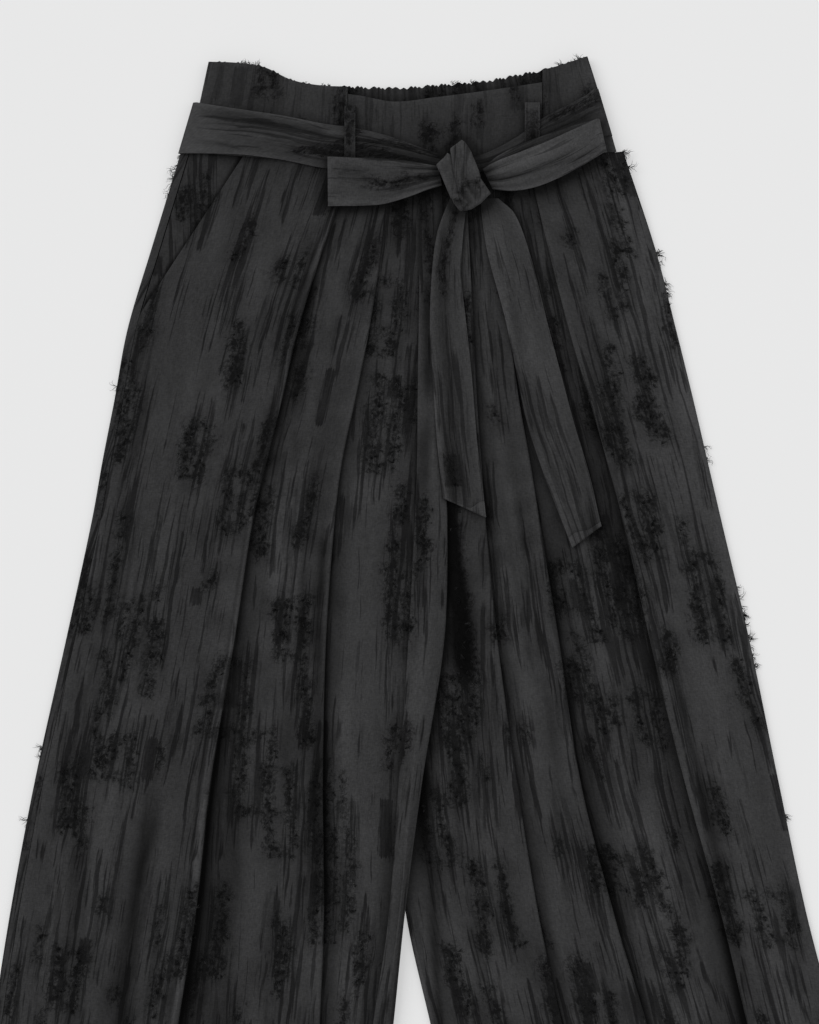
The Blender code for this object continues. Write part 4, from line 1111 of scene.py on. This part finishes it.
def around_knot(reach):
    """Across and down at a reach from the knot's centre, on every ray."""
    return KNOT_CENTRE[0] + reach * np.cos(angle), KNOT_CENTRE[1] + reach * np.sin(angle)


angle = np.linspace(0, 2 * pi, KNOT_RAYS + 1)
reach = np.linspace(4, 46, 640)[:, None]
x, y = around_knot(reach)
covered = np.max([inside_depth(outline, x, y) for outline in KNOT_TURNS.values()], axis=0) > 0
rim = reach[np.argmin(covered, axis=0), 0]
rim = sum(np.roll(rim[:-1], k) for k in (-1, 0, 1)) / 3
rim = np.append(rim, rim[0])
out = (1 - (1 - np.linspace(0, 1, 54)[:, None]) ** 1.5) * rim
x, y = around_knot(out)
face = np.full(x.shape, FAR)
for name, outline in KNOT_TURNS.items():
    depth = inside_depth(outline, x, y)
    edge = 1 - np.clip(depth / KNOT_EDGE, 0, 1)
    turn = turn_height(name, x, y) - KNOT_DROP * (1 - np.sqrt(1 - edge**2))
    face = np.maximum(face, np.where(depth > -0.25, turn, FAR))
face = np.where(face < 0, KNOT_FOOT + 9, face) + 0.22 * rumple(x, y, 4, 11, 3.7)
fall = np.linspace(0, 1, 9)[1:, None]
low = lerp(face[-1], KNOT_FOOT, fall)
tuck = rim - KNOT_TUCK * ease(fall)
under = np.linspace(1, 0, 5)[1:, None] * tuck[-1]
across, down = (np.vstack(rings) for rings in zip((x, y), around_knot(tuck), around_knot(under)))
height = np.vstack([face, low, KNOT_FOOT + 0 * under])
pattern = ([], [], [])
add_by_hand(pattern, **KNOT_ZONES)
knot = sew("bow_knot_cloth", across, down + KNOT_DOWN, height, across, down, None, sash_cloth, pattern)
bpy.ops.object.select_all(action="DESELECT")
knot.select_set(True)
bpy.ops.object.mode_set(mode="EDIT")
bpy.ops.mesh.select_all(action="SELECT")
bpy.ops.mesh.remove_doubles(threshold=0.00001)
bpy.ops.mesh.normals_make_consistent(inside=False)
bpy.ops.object.mode_set(mode="OBJECT")
finish_piece(knot, None, "bow_knot")

# ================================================================ tails of the sash
# The two free ends hang from the knot over the pleats. Each is cut slantwise, and its point
# is turned back a little, so that the edge catches the light.
# Down, and where across its left and its right edge are; its end is cut from one down to another.
TAIL_LEFT = (
    (128, 29, 44), (140, 24, 43), (162, 16.5, 40.5), (200, 11.6, 38.5), (251, 9.8, 44),
    (300, 12.6, 49), (356, 16.3, 53.5), (398, 20.9, 58.5),
)
TAIL_LEFT_END = (406, 424)
TAIL_RIGHT = (
    (130, 57, 73), (144, 57.5, 88), (180, 63, 102), (238, 78.6, 117), (289, 89.7, 130),
    (337, 100, 142.8), (384, 115, 157), (418, 128, 165),
)
TAIL_RIGHT_END = (452, 432)
TAIL_START_HEIGHT, TAIL_GAP, TAIL_SETTLES, TAIL_GRAIN = 12.4, 0.4, 45.0, 120
TAIL_CREASES = {
    "left": ((0.08, 0.05, 0.9), (0.30, 0.06, -0.5), (0.62, 0.08, 0.4)),
    "right": ((0.10, 0.05, 0.6), (0.22, 0.04, -0.5), (0.55, 0.20, 0.7)),
}
bpy.context.view_layer.update()
evaluated = bpy.context.evaluated_depsgraph_get()
tops = [BVHTree.FromObject(front_panels[side][6], evaluated) for side in ("left", "right")]


def cloth_top(across, down):
    """The height of the legs' cloth at a place, seen from above."""
    spot = Vector(from_origin(across, down, 1000)) * MM
    hits = [tree.ray_cast(spot, Vector((0, 0, -1)))[0] for tree in tops]
    return max([hit.z / MM for hit in hits if hit] + [0.0])


def round_about(height, rows, wide):
    """The heights near each place, up to so many rows and columns away."""
    padded = np.pad(height, ((rows, rows), (wide, wide)), mode="edge")
    steps = np.ndindex(2 * rows + 1, 2 * wide + 1)
    return np.stack([padded[i : i + height.shape[0], k : k + height.shape[1]] for i, k in steps])


TAIL_TURN = 1.1
TAIL_FULL = {"left": 0.1, "right": 0.02}
# The turned point at each end: how far it comes back, over the end from left to right.
TAIL_TURNED = {
    "left": lambda share: 0.3 + 13 * ease((share - 0.58) / 0.42),
    "right": lambda share: 2.5 + 6 * ease((0.75 - share) / 0.6),
}
TAIL_CUT = {"left": ((0.042, 0.31), 0.0112), "right": ((0.042, 0.35), 0.0138)}  # metres, flat
TAIL_ZONES = {
    "left": {
        "bands": (
            ((10, 250, 1.5), (13, 272, 3.0)),
            ((22, 14, 3.5), (20, 44, 3.0), (14, 78, 4.0), (16, 96, 1.0)),
        ),
        "blocks": ((14, 262, 10, 15),),
        "combed": (((18, 120, 3), (22, 200, 14), (22, 300, 12)),),
    },
    "right": {
        "combed": (
            ((18, 176, 2), (20, 230, 13), (24, 340, 16)),
            ((8, 20, 2), (14, 60, 4), (16, 100, 2)),
        ),
    },
}
for side, table, ends in (("left", TAIL_LEFT, TAIL_LEFT_END), ("right", TAIL_RIGHT, TAIL_RIGHT_END)):
    stations, *edges = zip(*table)
    left, right = (Curve(stations, edge) for edge in edges)
    run = np.linspace(0, 1, 130)[:, None]
    share = np.linspace(0, 1, 22)
    down = lerp(table[0][0], lerp(*ends, share), run)
    across = lerp(left(down), right(down), share)
    under = np.reshape([cloth_top(*spot) for spot in zip(across.ravel(), down.ravel())], across.shape)
    # It bridges the folds below it, so it lies on the highest cloth near each place.
    smooth = round_about(round_about(under, 2, 2).max(axis=0), 4, 2).mean(axis=0)
    lying = np.maximum(smooth, under) + TAIL_GAP + SASH_CLOTH / 2
    falling = lerp(TAIL_START_HEIGHT, lying, ease((down - table[0][0]) / TAIL_SETTLES))
    height = np.maximum(lying, falling)
    for line, reach, tall in TAIL_CREASES[side]:
        height = height + np.maximum(crease(share, line, reach, tall), -0.3) * ease(run * 6)
    height = height + 0.25 * (1 + rumple(across, down, 9, 50, 5.5))
    pattern = scatter_bands(91 + len(side), 0, SASH_WIDTH, 0, 330, wide=30, long=85, full=TAIL_FULL[side])
    turned = TAIL_TURNED[side](share)
    bend = np.linspace(0, pi, 8)[1:, None]
    roll = np.vstack([np.sin(bend), -np.linspace(0, 1, 6)[1:, None]])
    lift = np.vstack([1 - np.cos(bend), np.full((5, 1), 2.0)]) * np.minimum(1, turned)
    back = np.where(roll >= 0, roll * TAIL_TURN, roll * turned)
    along = np.stack([across[-1] - across[-2], down[-1] - down[-2]])
    along = along / np.hypot(*along)
    across = np.vstack([across, across[-1] + back * along[0]])
    down = np.vstack([down, down[-1] + back * along[1]])
    height = np.vstack([height, height[-1] + lift * TAIL_TURN])
    name = "sash_tail_" + side
    width = SASH_WIDTH * share + 0 * down
    add_by_hand(pattern, **TAIL_ZONES[side])
    along = down - TAIL_GRAIN
    sash_panels.append((across, down, height, width, along, pattern[0], SASH_CLOTH))
    piece = sew(name + "_cloth", across, down, height, width, along, SASH_CLOTH, sash_cloth, pattern)
    flat, area = TAIL_CUT[side]
    finish_piece(piece, flat, name)

# ================================================================ belt loops
# Four narrow straps of the leg cloth, sewn into the waistband's top and the waist seam; the
# sash runs through them.
# Middle across, top and foot down, width, and whether it is on the back.
BELT_LOOPS = {
    "belt_loop_front_left": (-64.5, 44, 113, 10, False),
    "belt_loop_front_right": (104.5, 41, 106, 14, False),
    "belt_loop_back_left": (-92, 30, 90, 11, True),
    "belt_loop_back_right": (58, 26, 88, 11, True),
}
LOOP_CLOTH, LOOP_BEND = 1.0, 7.0
LOOP_OVER_SASH, LOOP_UNDER_SASH, LOOP_FOOT_FRONT, LOOP_FOOT_BACK = 13.9, 0.6, 11.8, 2.5
for name, (middle, start, end, width, behind) in BELT_LOOPS.items():
    over, foot = (LOOP_UNDER_SASH, LOOP_FOOT_BACK) if behind else (LOOP_OVER_SASH, LOOP_FOOT_FRONT)
    down = np.linspace(start, end, 40)[:, None]
    share = np.linspace(-0.5, 0.5, 13)
    off = np.minimum(down - start, end - down)
    height = lerp(foot, over, ease((off - 1) / (LOOP_BEND - 1))) + 0 * share
    rim = 0.30 * swell(np.abs(share) - 0.36, 0.06)
    barred = 0.0 if name.endswith("front_left") else 0.55
    bar = barred * swell(down - start - 4.5, 1.6) - 0.35 * swell(down - start - 7.5, 1.0)
    if not behind:
        height = height + (0.35 - rim + bar + 0.15 * rumple(width * share, down, 5, 12, 1.7))
    across = middle + width * share + 0 * down
    tuft = np.array(((middle, start + 2, 5.0), (middle, start + 16, 3.0), (middle - 1, end - 22, 0.5)))
    if barred:
        tuft = np.array(((middle, start + 13, 1.5), (middle, (start + end) / 2, 4.5), (middle, end - 8, 5.0)))
    combed = [np.array(((middle, start + 9, 3), (middle, end, 3)))]
    pattern = ([tuft], (), combed)
    piece = sew(name + "_strap", across, down, height, across, down, LOOP_CLOTH, band_cloth, pattern)
    finish_piece(piece, (width * MM, (end - start) * MM), name)

# ================================================================ clipped threads
# The jacquard's floating yarns are cut after weaving, and their ends curl up out of the cloth
# in dark tufts. The tufts of each front, of the waistband and of the sash are one mesh each of thin
# tapered strands.
STRAND_SIDES, STRAND_RINGS = 3, 3
LOCK, LOCK_SPREAD, OWN_WAY = 6, 0.55, 0.28
LOCKS_PER_MM2, LOWEST_THREAD, ROOT_DEPTH = 0.019, 0.25, 0.05
THREAD_THICK, FRAY_THICKER, FRAY_LONGER = 0.19, 0.13, 0.5
LEAN, LEAN_FALLS, CURL = (0.15, 0.9), (0.2, 0.9), 1.1
thread, yarn = dye_bath("clipped_thread")
tone = yarn.node("ShaderNodeAttribute", {"attribute_name": "tone"}, output=2)
tint = tone.dyed((0.0034, 0.0034, 0.0036, 1), (0.038, 0.038, 0.039, 1))
yarn.shade({"Base Color": tint, "Roughness": 0.8, "Specular IOR Level": 0.08})


def tuft_roots(chance, across, down, height, u, v, bands, cloth, seen=True):
    """Places of the locks on the upper faces of a panel's clipped bands, in millimetres."""
    depth = clipped_depth(bands, u, v)
    places = from_origin(across, down, height)
    a, b, c, d = places[:-1, :-1], places[1:, :-1], places[1:, 1:], places[:-1, 1:]
    area = np.linalg.norm(np.cross(b - a, d - a), axis=-1)
    inside = (depth[:-1, :-1] > -1.0) & (np.cross(b - a, d - a)[..., 2] > 0) & seen
    wanted = chance.poisson(LOCKS_PER_MM2 * area * inside)
    i, k = np.repeat(np.nonzero(wanted), wanted[wanted > 0], axis=1)
    s, t = chance.uniform(0, 1, (2, len(i), 1))
    roots = lerp(lerp(a[i, k], b[i, k], s), lerp(d[i, k], c[i, k], s), t)
    roots[:, 2] += cloth / 2 - ROOT_DEPTH
    return roots


def frayed(chance, line, stretches, outward):
    """Roots of loose yarns on an edge's line, and their turn: stretches are from, to, how many."""
    roots = [line(chance.uniform(start, end, count), *rest) for start, end, count, *rest in stretches]
    roots = np.concatenate(roots)
    return roots, np.full(len(roots), outward)


def strands(name, roots, seed, fringe=None, length=(3.0, 8.0)):
    """A mesh of curling strands that stand on the roots; the fringe's lie along their own turn."""
    chance = np.random.default_rng(seed)
    turn = chance.uniform(0, 2 * pi, len(roots))
    fringed = np.zeros(len(roots))
    if fringe:
        roots, turn = np.concatenate([roots, fringe[0]]), np.concatenate([turn, fringe[1]])
        fringed = np.append(fringed, np.ones(len(fringe[0])))
    locks, count = len(roots), len(roots) * LOCK

    def together(values):
        """What a lock has in common, for each of its strands."""
        return np.repeat(values, LOCK, axis=0)

    roots, turn, fringed = together(roots), together(turn), together(fringed)
    roots[:, :2] += chance.normal(0, LOCK_SPREAD, (count, 2))
    turn = turn + chance.normal(0, OWN_WAY + 0.4 * fringed)
    lean = together(chance.uniform(*LEAN, locks)) * (1 - 0.8 * fringed)
    step = together(chance.uniform(*length, locks)) * chance.uniform(0.75, 1.15, count)
    step = (step * (1 + FRAY_LONGER * fringed) / STRAND_RINGS)[:, None]
    thick = (THREAD_THICK + FRAY_THICKER * fringed)[:, None]
    spots = [roots]
    for _ in range(STRAND_RINGS):
        heading = np.stack([np.cos(turn) * np.cos(lean), np.sin(turn) * np.cos(lean), np.sin(lean)], 1)
        spots.append(spots[-1] + heading * step)
        spots[-1][:, 2] = np.maximum(spots[-1][:, 2], LOWEST_THREAD)
        turn = turn + together(chance.normal(0, CURL, locks)) + chance.normal(0, OWN_WAY, count)
        lean = np.clip(lean - together(chance.uniform(*LEAN_FALLS, locks)), -0.25, 1.2)
    verts, faces = [], []
    tip = STRAND_RINGS * STRAND_SIDES
    corner = np.arange(STRAND_SIDES) * 2 * pi / STRAND_SIDES
    for ring, spot in enumerate(spots[:-1]):
        size = thick * (1 - 0.25 * ring)
        along = spots[ring + 1] - spot
        along /= np.linalg.norm(along, axis=1)[:, None]
        beside = np.stack([-along[:, 1], along[:, 0], 0 * turn], 1)
        beside /= np.maximum(np.linalg.norm(beside, axis=1), 1e-6)[:, None]
        third = np.cross(along, beside)
        for angle in corner:
            verts.append(spot + size * (cos(angle) * beside + sin(angle) * third))
    verts = np.stack([*verts, spots[-1]], 1).reshape(-1, 3) * MM
    for ring in range(STRAND_RINGS - 1):
        for k in range(STRAND_SIDES):
            a, b = ring * STRAND_SIDES + k, ring * STRAND_SIDES + (k + 1) % STRAND_SIDES
            faces += [(a, b, b + STRAND_SIDES), (a, b + STRAND_SIDES, a + STRAND_SIDES)]
    last = (STRAND_RINGS - 1) * STRAND_SIDES
    faces += [(last + k, last + (k + 1) % STRAND_SIDES, tip) for k in range(STRAND_SIDES)]
    faces.append((2, 1, 0))
    first = (np.arange(count) * (tip + 1))[:, None, None]
    faces = (np.array(faces) + first).reshape(-1, 3)
    mesh = bpy.data.meshes.new(name)
    mesh.from_pydata(verts.tolist(), [], faces.tolist())
    tones = together(chance.beta(0.5, 2.0, locks)) * (1 - 0.8 * fringed)
    tones = np.repeat(tones, tip + 1)
    mesh.attributes.new("tone", "FLOAT", "POINT").data.foreach_set("value", tones.astype(np.float32))
    mesh.materials.append(thread)
    mesh.shade_smooth()
    piece = bpy.data.objects.new(name, mesh)
    bpy.context.collection.objects.link(piece)
    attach(piece, "root")


def side_edge(down, side):
    return from_origin(LINES[side + "_side"](down), down, back_height(down) + side_radius(down))


def casing_edge(across, height):
    return from_origin(across, casing_top(across), height + 0 * across) - (0, TOP_FRAYS_IN, 0)


# Where loose yarns stick out past the garment's edges: from, to, and how many clumps.
SIDE_FRAYS = {
    "left": ((87, 128, 8), (300, 306, 1), (636, 648, 3), (700, 712, 2)),
    "right": (
        (84, 92, 4), (96, 104, 3), (176, 190, 5), (206, 222, 6), (360, 372, 2), (490, 566, 18),
        (700, 706, 2),
    ),
}
TOP_FRAYS_IN = 0.5
TOP_FRAYS = (
    (-166, -148, 5, BAND_HEIGHT), (-96, -72, 4, BAND_HEIGHT), (24, 52, 5, CASING_HEIGHT),
    (128, 150, 5, BAND_HEIGHT),
)
OUTWARD = {"left": pi + 0.3, "right": -0.45}
for number, side in enumerate(("left", "right")):
    across, down, height, grain, seen, pattern, _ = front_panels[side]
    chance = np.random.default_rng(101 + number)
    roots = tuft_roots(chance, across, down, height, grain, down, pattern[0], LEG_CLOTH, seen[:-1])
    stretches = [(*stretch, side) for stretch in SIDE_FRAYS[side]]
    fringe = frayed(chance, side_edge, stretches, OUTWARD[side])
    strands("clipped_threads_" + side, roots, 111 + number, fringe)
chance = np.random.default_rng(103)
roots = np.concatenate([tuft_roots(chance, *panel) for panel in waist_panels])
fringe = frayed(chance, casing_edge, TOP_FRAYS, pi / 2)
strands("clipped_threads_waistband", roots, 113, fringe, length=(2.0, 5.0))
roots = np.concatenate([tuft_roots(chance, *panel) for panel in sash_panels])
strands("clipped_threads_sash", roots, 114, length=(2.0, 5.5))

# ================================================================ painted shade and highlights
# Shade is painted into the cloth's colour where it lies in a fold or under another piece, and a
# highlight where it stands on a ridge. A relief map of the garment says how much.
CELL, GAPS_CLOSED = 3.0, 3
# How much shade is painted for each millimetre that the cloth lies below what is round it, over a reach.
PAINTED_SHADE_PER_DEPTH = ((5.0, 0.15), (15.0, 0.07))
# Bounds of the painted values: the brightest painted highlight and the deepest painted shade.
PAINTED_SHADE_LEAST, PAINTED_SHADE_MOST = -0.85, 0.96
# The outer pleat's edge stands up; a highlight is painted along it and a line of shade beside it:
# down, how wide and how bright the painted highlight is, and how dark the painted line of shade.
PAINTED_EDGE_LIGHT = (
    (120, 2.0, 0.00, 0.0), (177, 4.6, 0.30, 0.70), (223, 7.0, -0.05, 0.65), (316, 4.0, 0.35, 0.60),
    (363, 2.8, 0.55, 0.40), (409, 2.6, 0.55, 0.35), (456, 2.0, 0.25, 0.50), (502, 2.2, 0.15, 0.50),
    (549, 2.8, 0.45, 0.50), (577, 3.4, 0.65, 0.50), (610, 6.0, 0.95, 0.80), (651, 6.8, 0.95, 0.85),
    (688, 7.6, 0.85, 0.60), (735, 7.5, 0.65, 0.40), (780, 6.0, 0.50, 0.30), (837, 7.0, 0.55, 0.40),
    (985, 7.0, 0.30, 0.15),
)
# Painted line of shade's width, painted highlight's rounding, painted shade's reach at the edge's foot.
SHADE_LINE, EDGE_ROUND, EDGE_FOOT = 1.9, 1.2, 6.0
# Lines of shade painted along folds, in gaps and beside other pieces, and of painted highlight where
# the strength is below nought, as along the outer edges; a few rows instead darken the cloth where its
# tufts are thick. Where they run, how strongly, and how wide at their upper and their lower end.
PAINTED_FOLD_SHADE = {
    "front_cloth_left": (
        (((-88, 420), (-92, 520), (-93, 640), (-94, 800)), 0.75, 4, 8),
        (((-183, 595), (-195, 700), (-204, 810), (-213, 900), (-227, 1040)), 0.50, 7, 18),
        (((-238, 668), (-246, 716), (-255, 744), (-263, 781), (-268, 828), (-288, 1040)), 0.44, 4, 16),
        (((-245, 668), (-260, 744), (-270, 781), (-279, 828), (-301, 1040)), 0.46, 6, 28),
        (((3, 320), (2, 420), (0, 530)), 0.45, 9, 9),
        (((-170, 660), (-171, 763), (-176, 828), (-186, 1040)), 0.48, 12, 16),
        (((-152, 490), (-156, 570), (-163, 650)), 0.28, 8, 9),
        (((-62, 385), (-60, 500), (-58, 620)), 0.22, 19, 21),
        (((-100, 150), (-108, 300), (-113, 400)), 0.36, 8, 10),
        (((-318, 715), (-325, 800), (-327, 900), (-330, 1040)), 0.40, 4, 6),
        (((-110, 250), (-139, 335), (-157, 400)), 0.35, 4, 6),
        (((-128, 365), (-132, 430), (-128, 520)), -0.28, 13, 13),
        (((-68, 570), (-73, 640), (-72, 750)), -0.38, 9, 11),
        (((-56, 800), (-62, 900), (-70, 1040)), -0.36, 12, 12),
        (((2, 520), (-1, 595), (-8, 670)), -0.22, 8, 8),
        (((8, 110), (6, 170), (6, 250), (7, 330)), 0.50, 5, 4),
        (((-247, 177), (-281, 316), (-302, 428), (-355, 670), (-394, 897), (-418, 1040)), -0.22, 8, 8),
        (((-268, 250), (-290, 372), (-325, 540), (-360, 700), (-392, 900), (-414, 1040)), -0.30, 18, 28),
        (((-325, 370), (-340, 520)), -0.20, 16, 22),
        (((-372, 820), (-380, 900), (-394, 1040)), -0.22, 12, 16),
        (((-20, 215), (-14, 330), (-12, 460)), -0.18, 6, 8),
    ),
    "front_cloth_right": (
        (((26, 385), (28, 430), (31, 465), (37, 502), (40.5, 539), (42, 600)), 1.60, 5, 13),
        (((4, 640), (5, 707), (9, 763), (12, 818), (20, 896), (28, 985)), 0.75, 6, 2.6),
        (((-6, 730), (-3, 790), (4, 880), (12, 985)), -0.60, 8, 9),
        (((120, 430), (128, 540), (145, 635), (165, 735), (187, 810), (205, 900), (233, 1040)), 0.26, 4, 11),
        (((220, 520), (252, 635), (276, 745), (303, 900), (327, 1040)), 0.62, 3, 12),
        (((65, 315), (73, 385), (93, 505), (112, 600)), 0.35, 4, 4),
        (((160, 260), (170, 400), (205, 520)), 0.25, 12, 14),
        (((24, 760), (47, 900), (70, 1040)), -0.22, 10, 14),
        (((200, 670), (222, 780), (240, 900), (261, 1040)), -0.50, 14, 24),
        (((293, 715), (317, 810), (345, 900), (389, 1040)), -0.30, 14, 24),
        (((180, 185), (215, 300), (250, 420)), -0.12, 28, 34),
        (((217, 177), (252, 316), (278, 428), (331, 670), (357, 793), (384, 897), (418, 1040)), -0.55, 7, 9),
        (((205, 120), (240, 251), (268, 372), (300, 500), (322, 605)), -0.42, 24, 32),
        (((178, 45), (187, 105), (199, 172)), -0.70, 16, 16),
        (((140, 96), (165, 230)), 0.24, 26, 26),
        (((105, 470), (117, 530), (131, 595), (147, 670)), -0.28, 6, 6),
        (((85, 595), (95, 680)), -0.18, 8, 8),
    ),
    "sash_tail_right_cloth": ((((72, 132), (85, 220), (99, 320)), -0.34, 16, 20),),
    "belt_loop_front_right_strap": ((((104.5, 38), (104.5, 112)), 0.50, 4, 4),),
    "sash_tail_left_cloth": ((((24, 140), (22, 220), (28, 330)), 0.16, 5, 7),),
}
# The same for the pieces that run across the garment: each place is down and across.
PAINTED_SHADE_FADE, PAINTED_SHADE_ACROSS_FADE = 45, 10
PAINTED_FOLD_SHADE_ACROSS = {
    "sash_band_cloth": (
        (((48.4, -204), (54, -162), (62.3, -120), (70, -83)), 0.42, 3.2, 4.0),
        (((42, -210), (46, -162), (55, -120), (63, -83)), -0.25, 2.4, 2.4),
        (((75, -212), (80, -181), (86, -160)), 0.50, 1.6, 1.4),
    ),
    "bow_loop_right_cloth": (
        (((116, 66), (108, 99), (95, 141), (84, 172)), 0.42, 1.6, 1.2),
        (((100, 62), (93, 99), (80, 141), (70, 176)), -0.45, 12, 14),
        (((104, 56), (101, 76)), 0.35, 9, 9),
    ),
    "waistband_back_casing": (
        (((20, 136), (18, 172)), -0.40, 14, 14),
        (((30, 112), (24, 132)), 0.30, 20, 20),
        (((78, 160), (78, 192)), -0.60, 12, 12),
    ),
}


def read(values, field):
    """Some vertices' places or directions, one row each."""
    numbers = np.zeros(len(values) * 3, np.float32)
    values.foreach_get(field, numbers)
    return numbers.reshape(-1, 3)


def spread(grid, reach):
    """A grid blurred over a reach in millimetres."""
    off = np.arange(-3 * reach // CELL, 3 * reach // CELL + 1) * CELL
    kernel = np.exp(-0.5 * (off / reach) ** 2)
    for axis in (0, 1):
        grid = np.apply_along_axis(np.convolve, axis, grid, kernel / kernel.sum(), "same")
    return grid


meshes = []
for piece in bpy.data.objects:
    if piece.type == "MESH" and "painted_shade" in piece.data.attributes:
        spots, normals = read(piece.data.vertices, "co"), read(piece.data.vertex_normals, "vector")
        meshes.append((piece, spots / MM, normals))
low = np.min([spots.min(0) for _, spots, _ in meshes], axis=0) - CELL
high = np.max([spots.max(0) for _, spots, _ in meshes], axis=0) + CELL

# The relief map holds the highest cloth in each cell, and its small gaps are filled from what
# is round them. Two blurred maps of it say how high the cloth lies near by and further off.
relief = np.zeros(np.ceil((high - low)[:2] / CELL).astype(int) + 1)
for _, spots, _ in meshes:
    cell = ((spots - low)[:, :2] / CELL).astype(int)
    np.maximum.at(relief, (cell[:, 0], cell[:, 1]), spots[:, 2])
covered = (relief > 0).astype(float)
for _ in range(GAPS_CLOSED):
    around = spread(covered, CELL)
    filled = np.where(around > 0.3, spread(relief * covered, CELL) / np.maximum(around, 0.01), 0)
    relief = np.where(covered > 0, relief, filled)
    covered = (relief > 0).astype(float)
levels = []
for reach, strength in PAINTED_SHADE_PER_DEPTH:
    blurred = spread(relief * covered, reach) / np.maximum(spread(covered, reach), 0.05)
    levels.append((blurred, strength))

# Each piece's painted shade and highlight, from the relief maps and from the tables above.
for piece, spots, normals in meshes:
    x, y = ((spots - low)[:, :2] / CELL - 0.5).T
    i, k = np.floor(x).astype(int), np.floor(y).astype(int)
    s, t = x - i, y - k
    shade = 0
    for level, strength in levels:
        upper = lerp(level[i, k + 1], level[i + 1, k + 1], s)
        near = lerp(lerp(level[i, k], level[i + 1, k], s), upper, t)
        shade = shade + strength * np.clip(near - spots[:, 2], -2.0, 2.6)
    across, down = spots[:, 0] - MIDDLE_TO_ORIGIN, WAIST_TO_MIDDLE - spots[:, 1]
    lengthwise = (PAINTED_FOLD_SHADE, across, down, PAINTED_SHADE_FADE)
    crosswise = (PAINTED_FOLD_SHADE_ACROSS, down, across, PAINTED_SHADE_ACROSS_FADE)
    for table, off, run, soft in (lengthwise, crosswise):
        for line, strength, *reach in table.get(piece.name, ()):
            places, stations = zip(*line)
            start, end = stations[0], stations[-1]
            wide = lerp(*reach, (run - start) / (end - start)).clip(1)
            fade = ease((run - start) / soft) * ease((end - run) / soft)
            shade = shade + strength * fade * swell(off - Curve(stations, places)(run), wide)
    # Painted shade on the left facing along the pocket mouth, where the front's edge lies over it.
    if piece.name == "pocket_facing_left_cloth":
        shade = shade + 0.55 * ease((across - pocket_mouth(down) + 5) / 4)
    # On the left front's outer pleat: a painted highlight on its edge, a painted line of shade beside it and
    # painted shade at its foot.
    if piece.name == "front_cloth_left":
        off = LINES["outer_pleat_left"](down) - across
        stations, *rim = zip(*PAINTED_EDGE_LIGHT)
        wide, bright, dark = (np.interp(down, stations, values) for values in rim)
        shade = shade - bright * ease(off + 0.8) * ease((wide - off) / EDGE_ROUND + 0.5)
        shade = shade + dark * swell(off - wide - SHADE_LINE, SHADE_LINE)
        shade = shade + 0.15 * ease(0.5 - off) * ease((EDGE_FOOT + off) / EDGE_FOOT)
    shade = np.clip(shade, PAINTED_SHADE_LEAST, PAINTED_SHADE_MOST) * ease(normals[:, 2] * 4)
    piece.data.attributes["painted_shade"].data.foreach_set("value", shade.astype(np.float32))

# ================================================================ studio
# A pale matt floor under soft light from above, and a camera straight over the waist.
CAMERA_HEIGHT, VIEW_HEIGHT, SENSOR = 3.0, 0.9523, 36.0
VIEW_MIDDLE = (-0.00755, 0.0707)
FLOOR_WIDE, FLOOR_LEVEL = 40.0, -0.0003
bpy.ops.mesh.primitive_plane_add(size=FLOOR_WIDE, location=(0, 0, FLOOR_LEVEL))
floor = bpy.context.object
floor.name = "floor"
floor.data.transform(floor.matrix_world)
floor.location = (0, 0, 0)
paper, pulp = dye_bath("floor_paper")
spot = pulp.node("ShaderNodeTexCoord", output=3)
mottle = pulp.node("ShaderNodeTexNoise", None, {"Vector": spot, "Scale": 3.0, "Detail": 2.0})
tint = mottle.dyed((0.392, 0.393, 0.394, 1), (0.400, 0.401, 0.402, 1))
pulp.shade({"Base Color": tint, "Roughness": 0.95, "Specular IOR Level": 0.0})
pulp.shade({"Emission Color": (1, 1, 1, 1), "Emission Strength": 0.42})
floor.data.materials.append(paper)

# Lamps: strength, width of the soft box, and how far it leans down the garment and to the right.
LAMPS = {"left_soft_box": (1.65, 44, -22, -44), "right_soft_box": (0.55, 50, -10, 42)}
SKY_LIGHT = 0.50
for name, (strength, wide, lean_down, lean_right) in LAMPS.items():
    box = bpy.data.lights.new(name, "SUN")
    box.energy, box.angle = strength, radians(wide)
    lamp = bpy.data.objects.new(name, box)
    lamp.rotation_euler = Euler((radians(lean_down), radians(lean_right), 0))
    bpy.context.collection.objects.link(lamp)
world = bpy.data.worlds.new("studio")
world.use_nodes = True
sky = {"Color": (1, 1, 1, 1), "Strength": SKY_LIGHT}
Yarn(world.node_tree).feed(world.node_tree.nodes["Background"], sky)
bpy.context.scene.world = world
bpy.context.scene.view_settings.view_transform = "Standard"

view = bpy.data.cameras.new("overhead")
view.sensor_width, view.lens = SENSOR, SENSOR * CAMERA_HEIGHT / VIEW_HEIGHT
camera = bpy.data.objects.new("overhead", view)
camera.location = (*VIEW_MIDDLE, CAMERA_HEIGHT)
bpy.context.collection.objects.link(camera)
bpy.context.scene.camera = camera
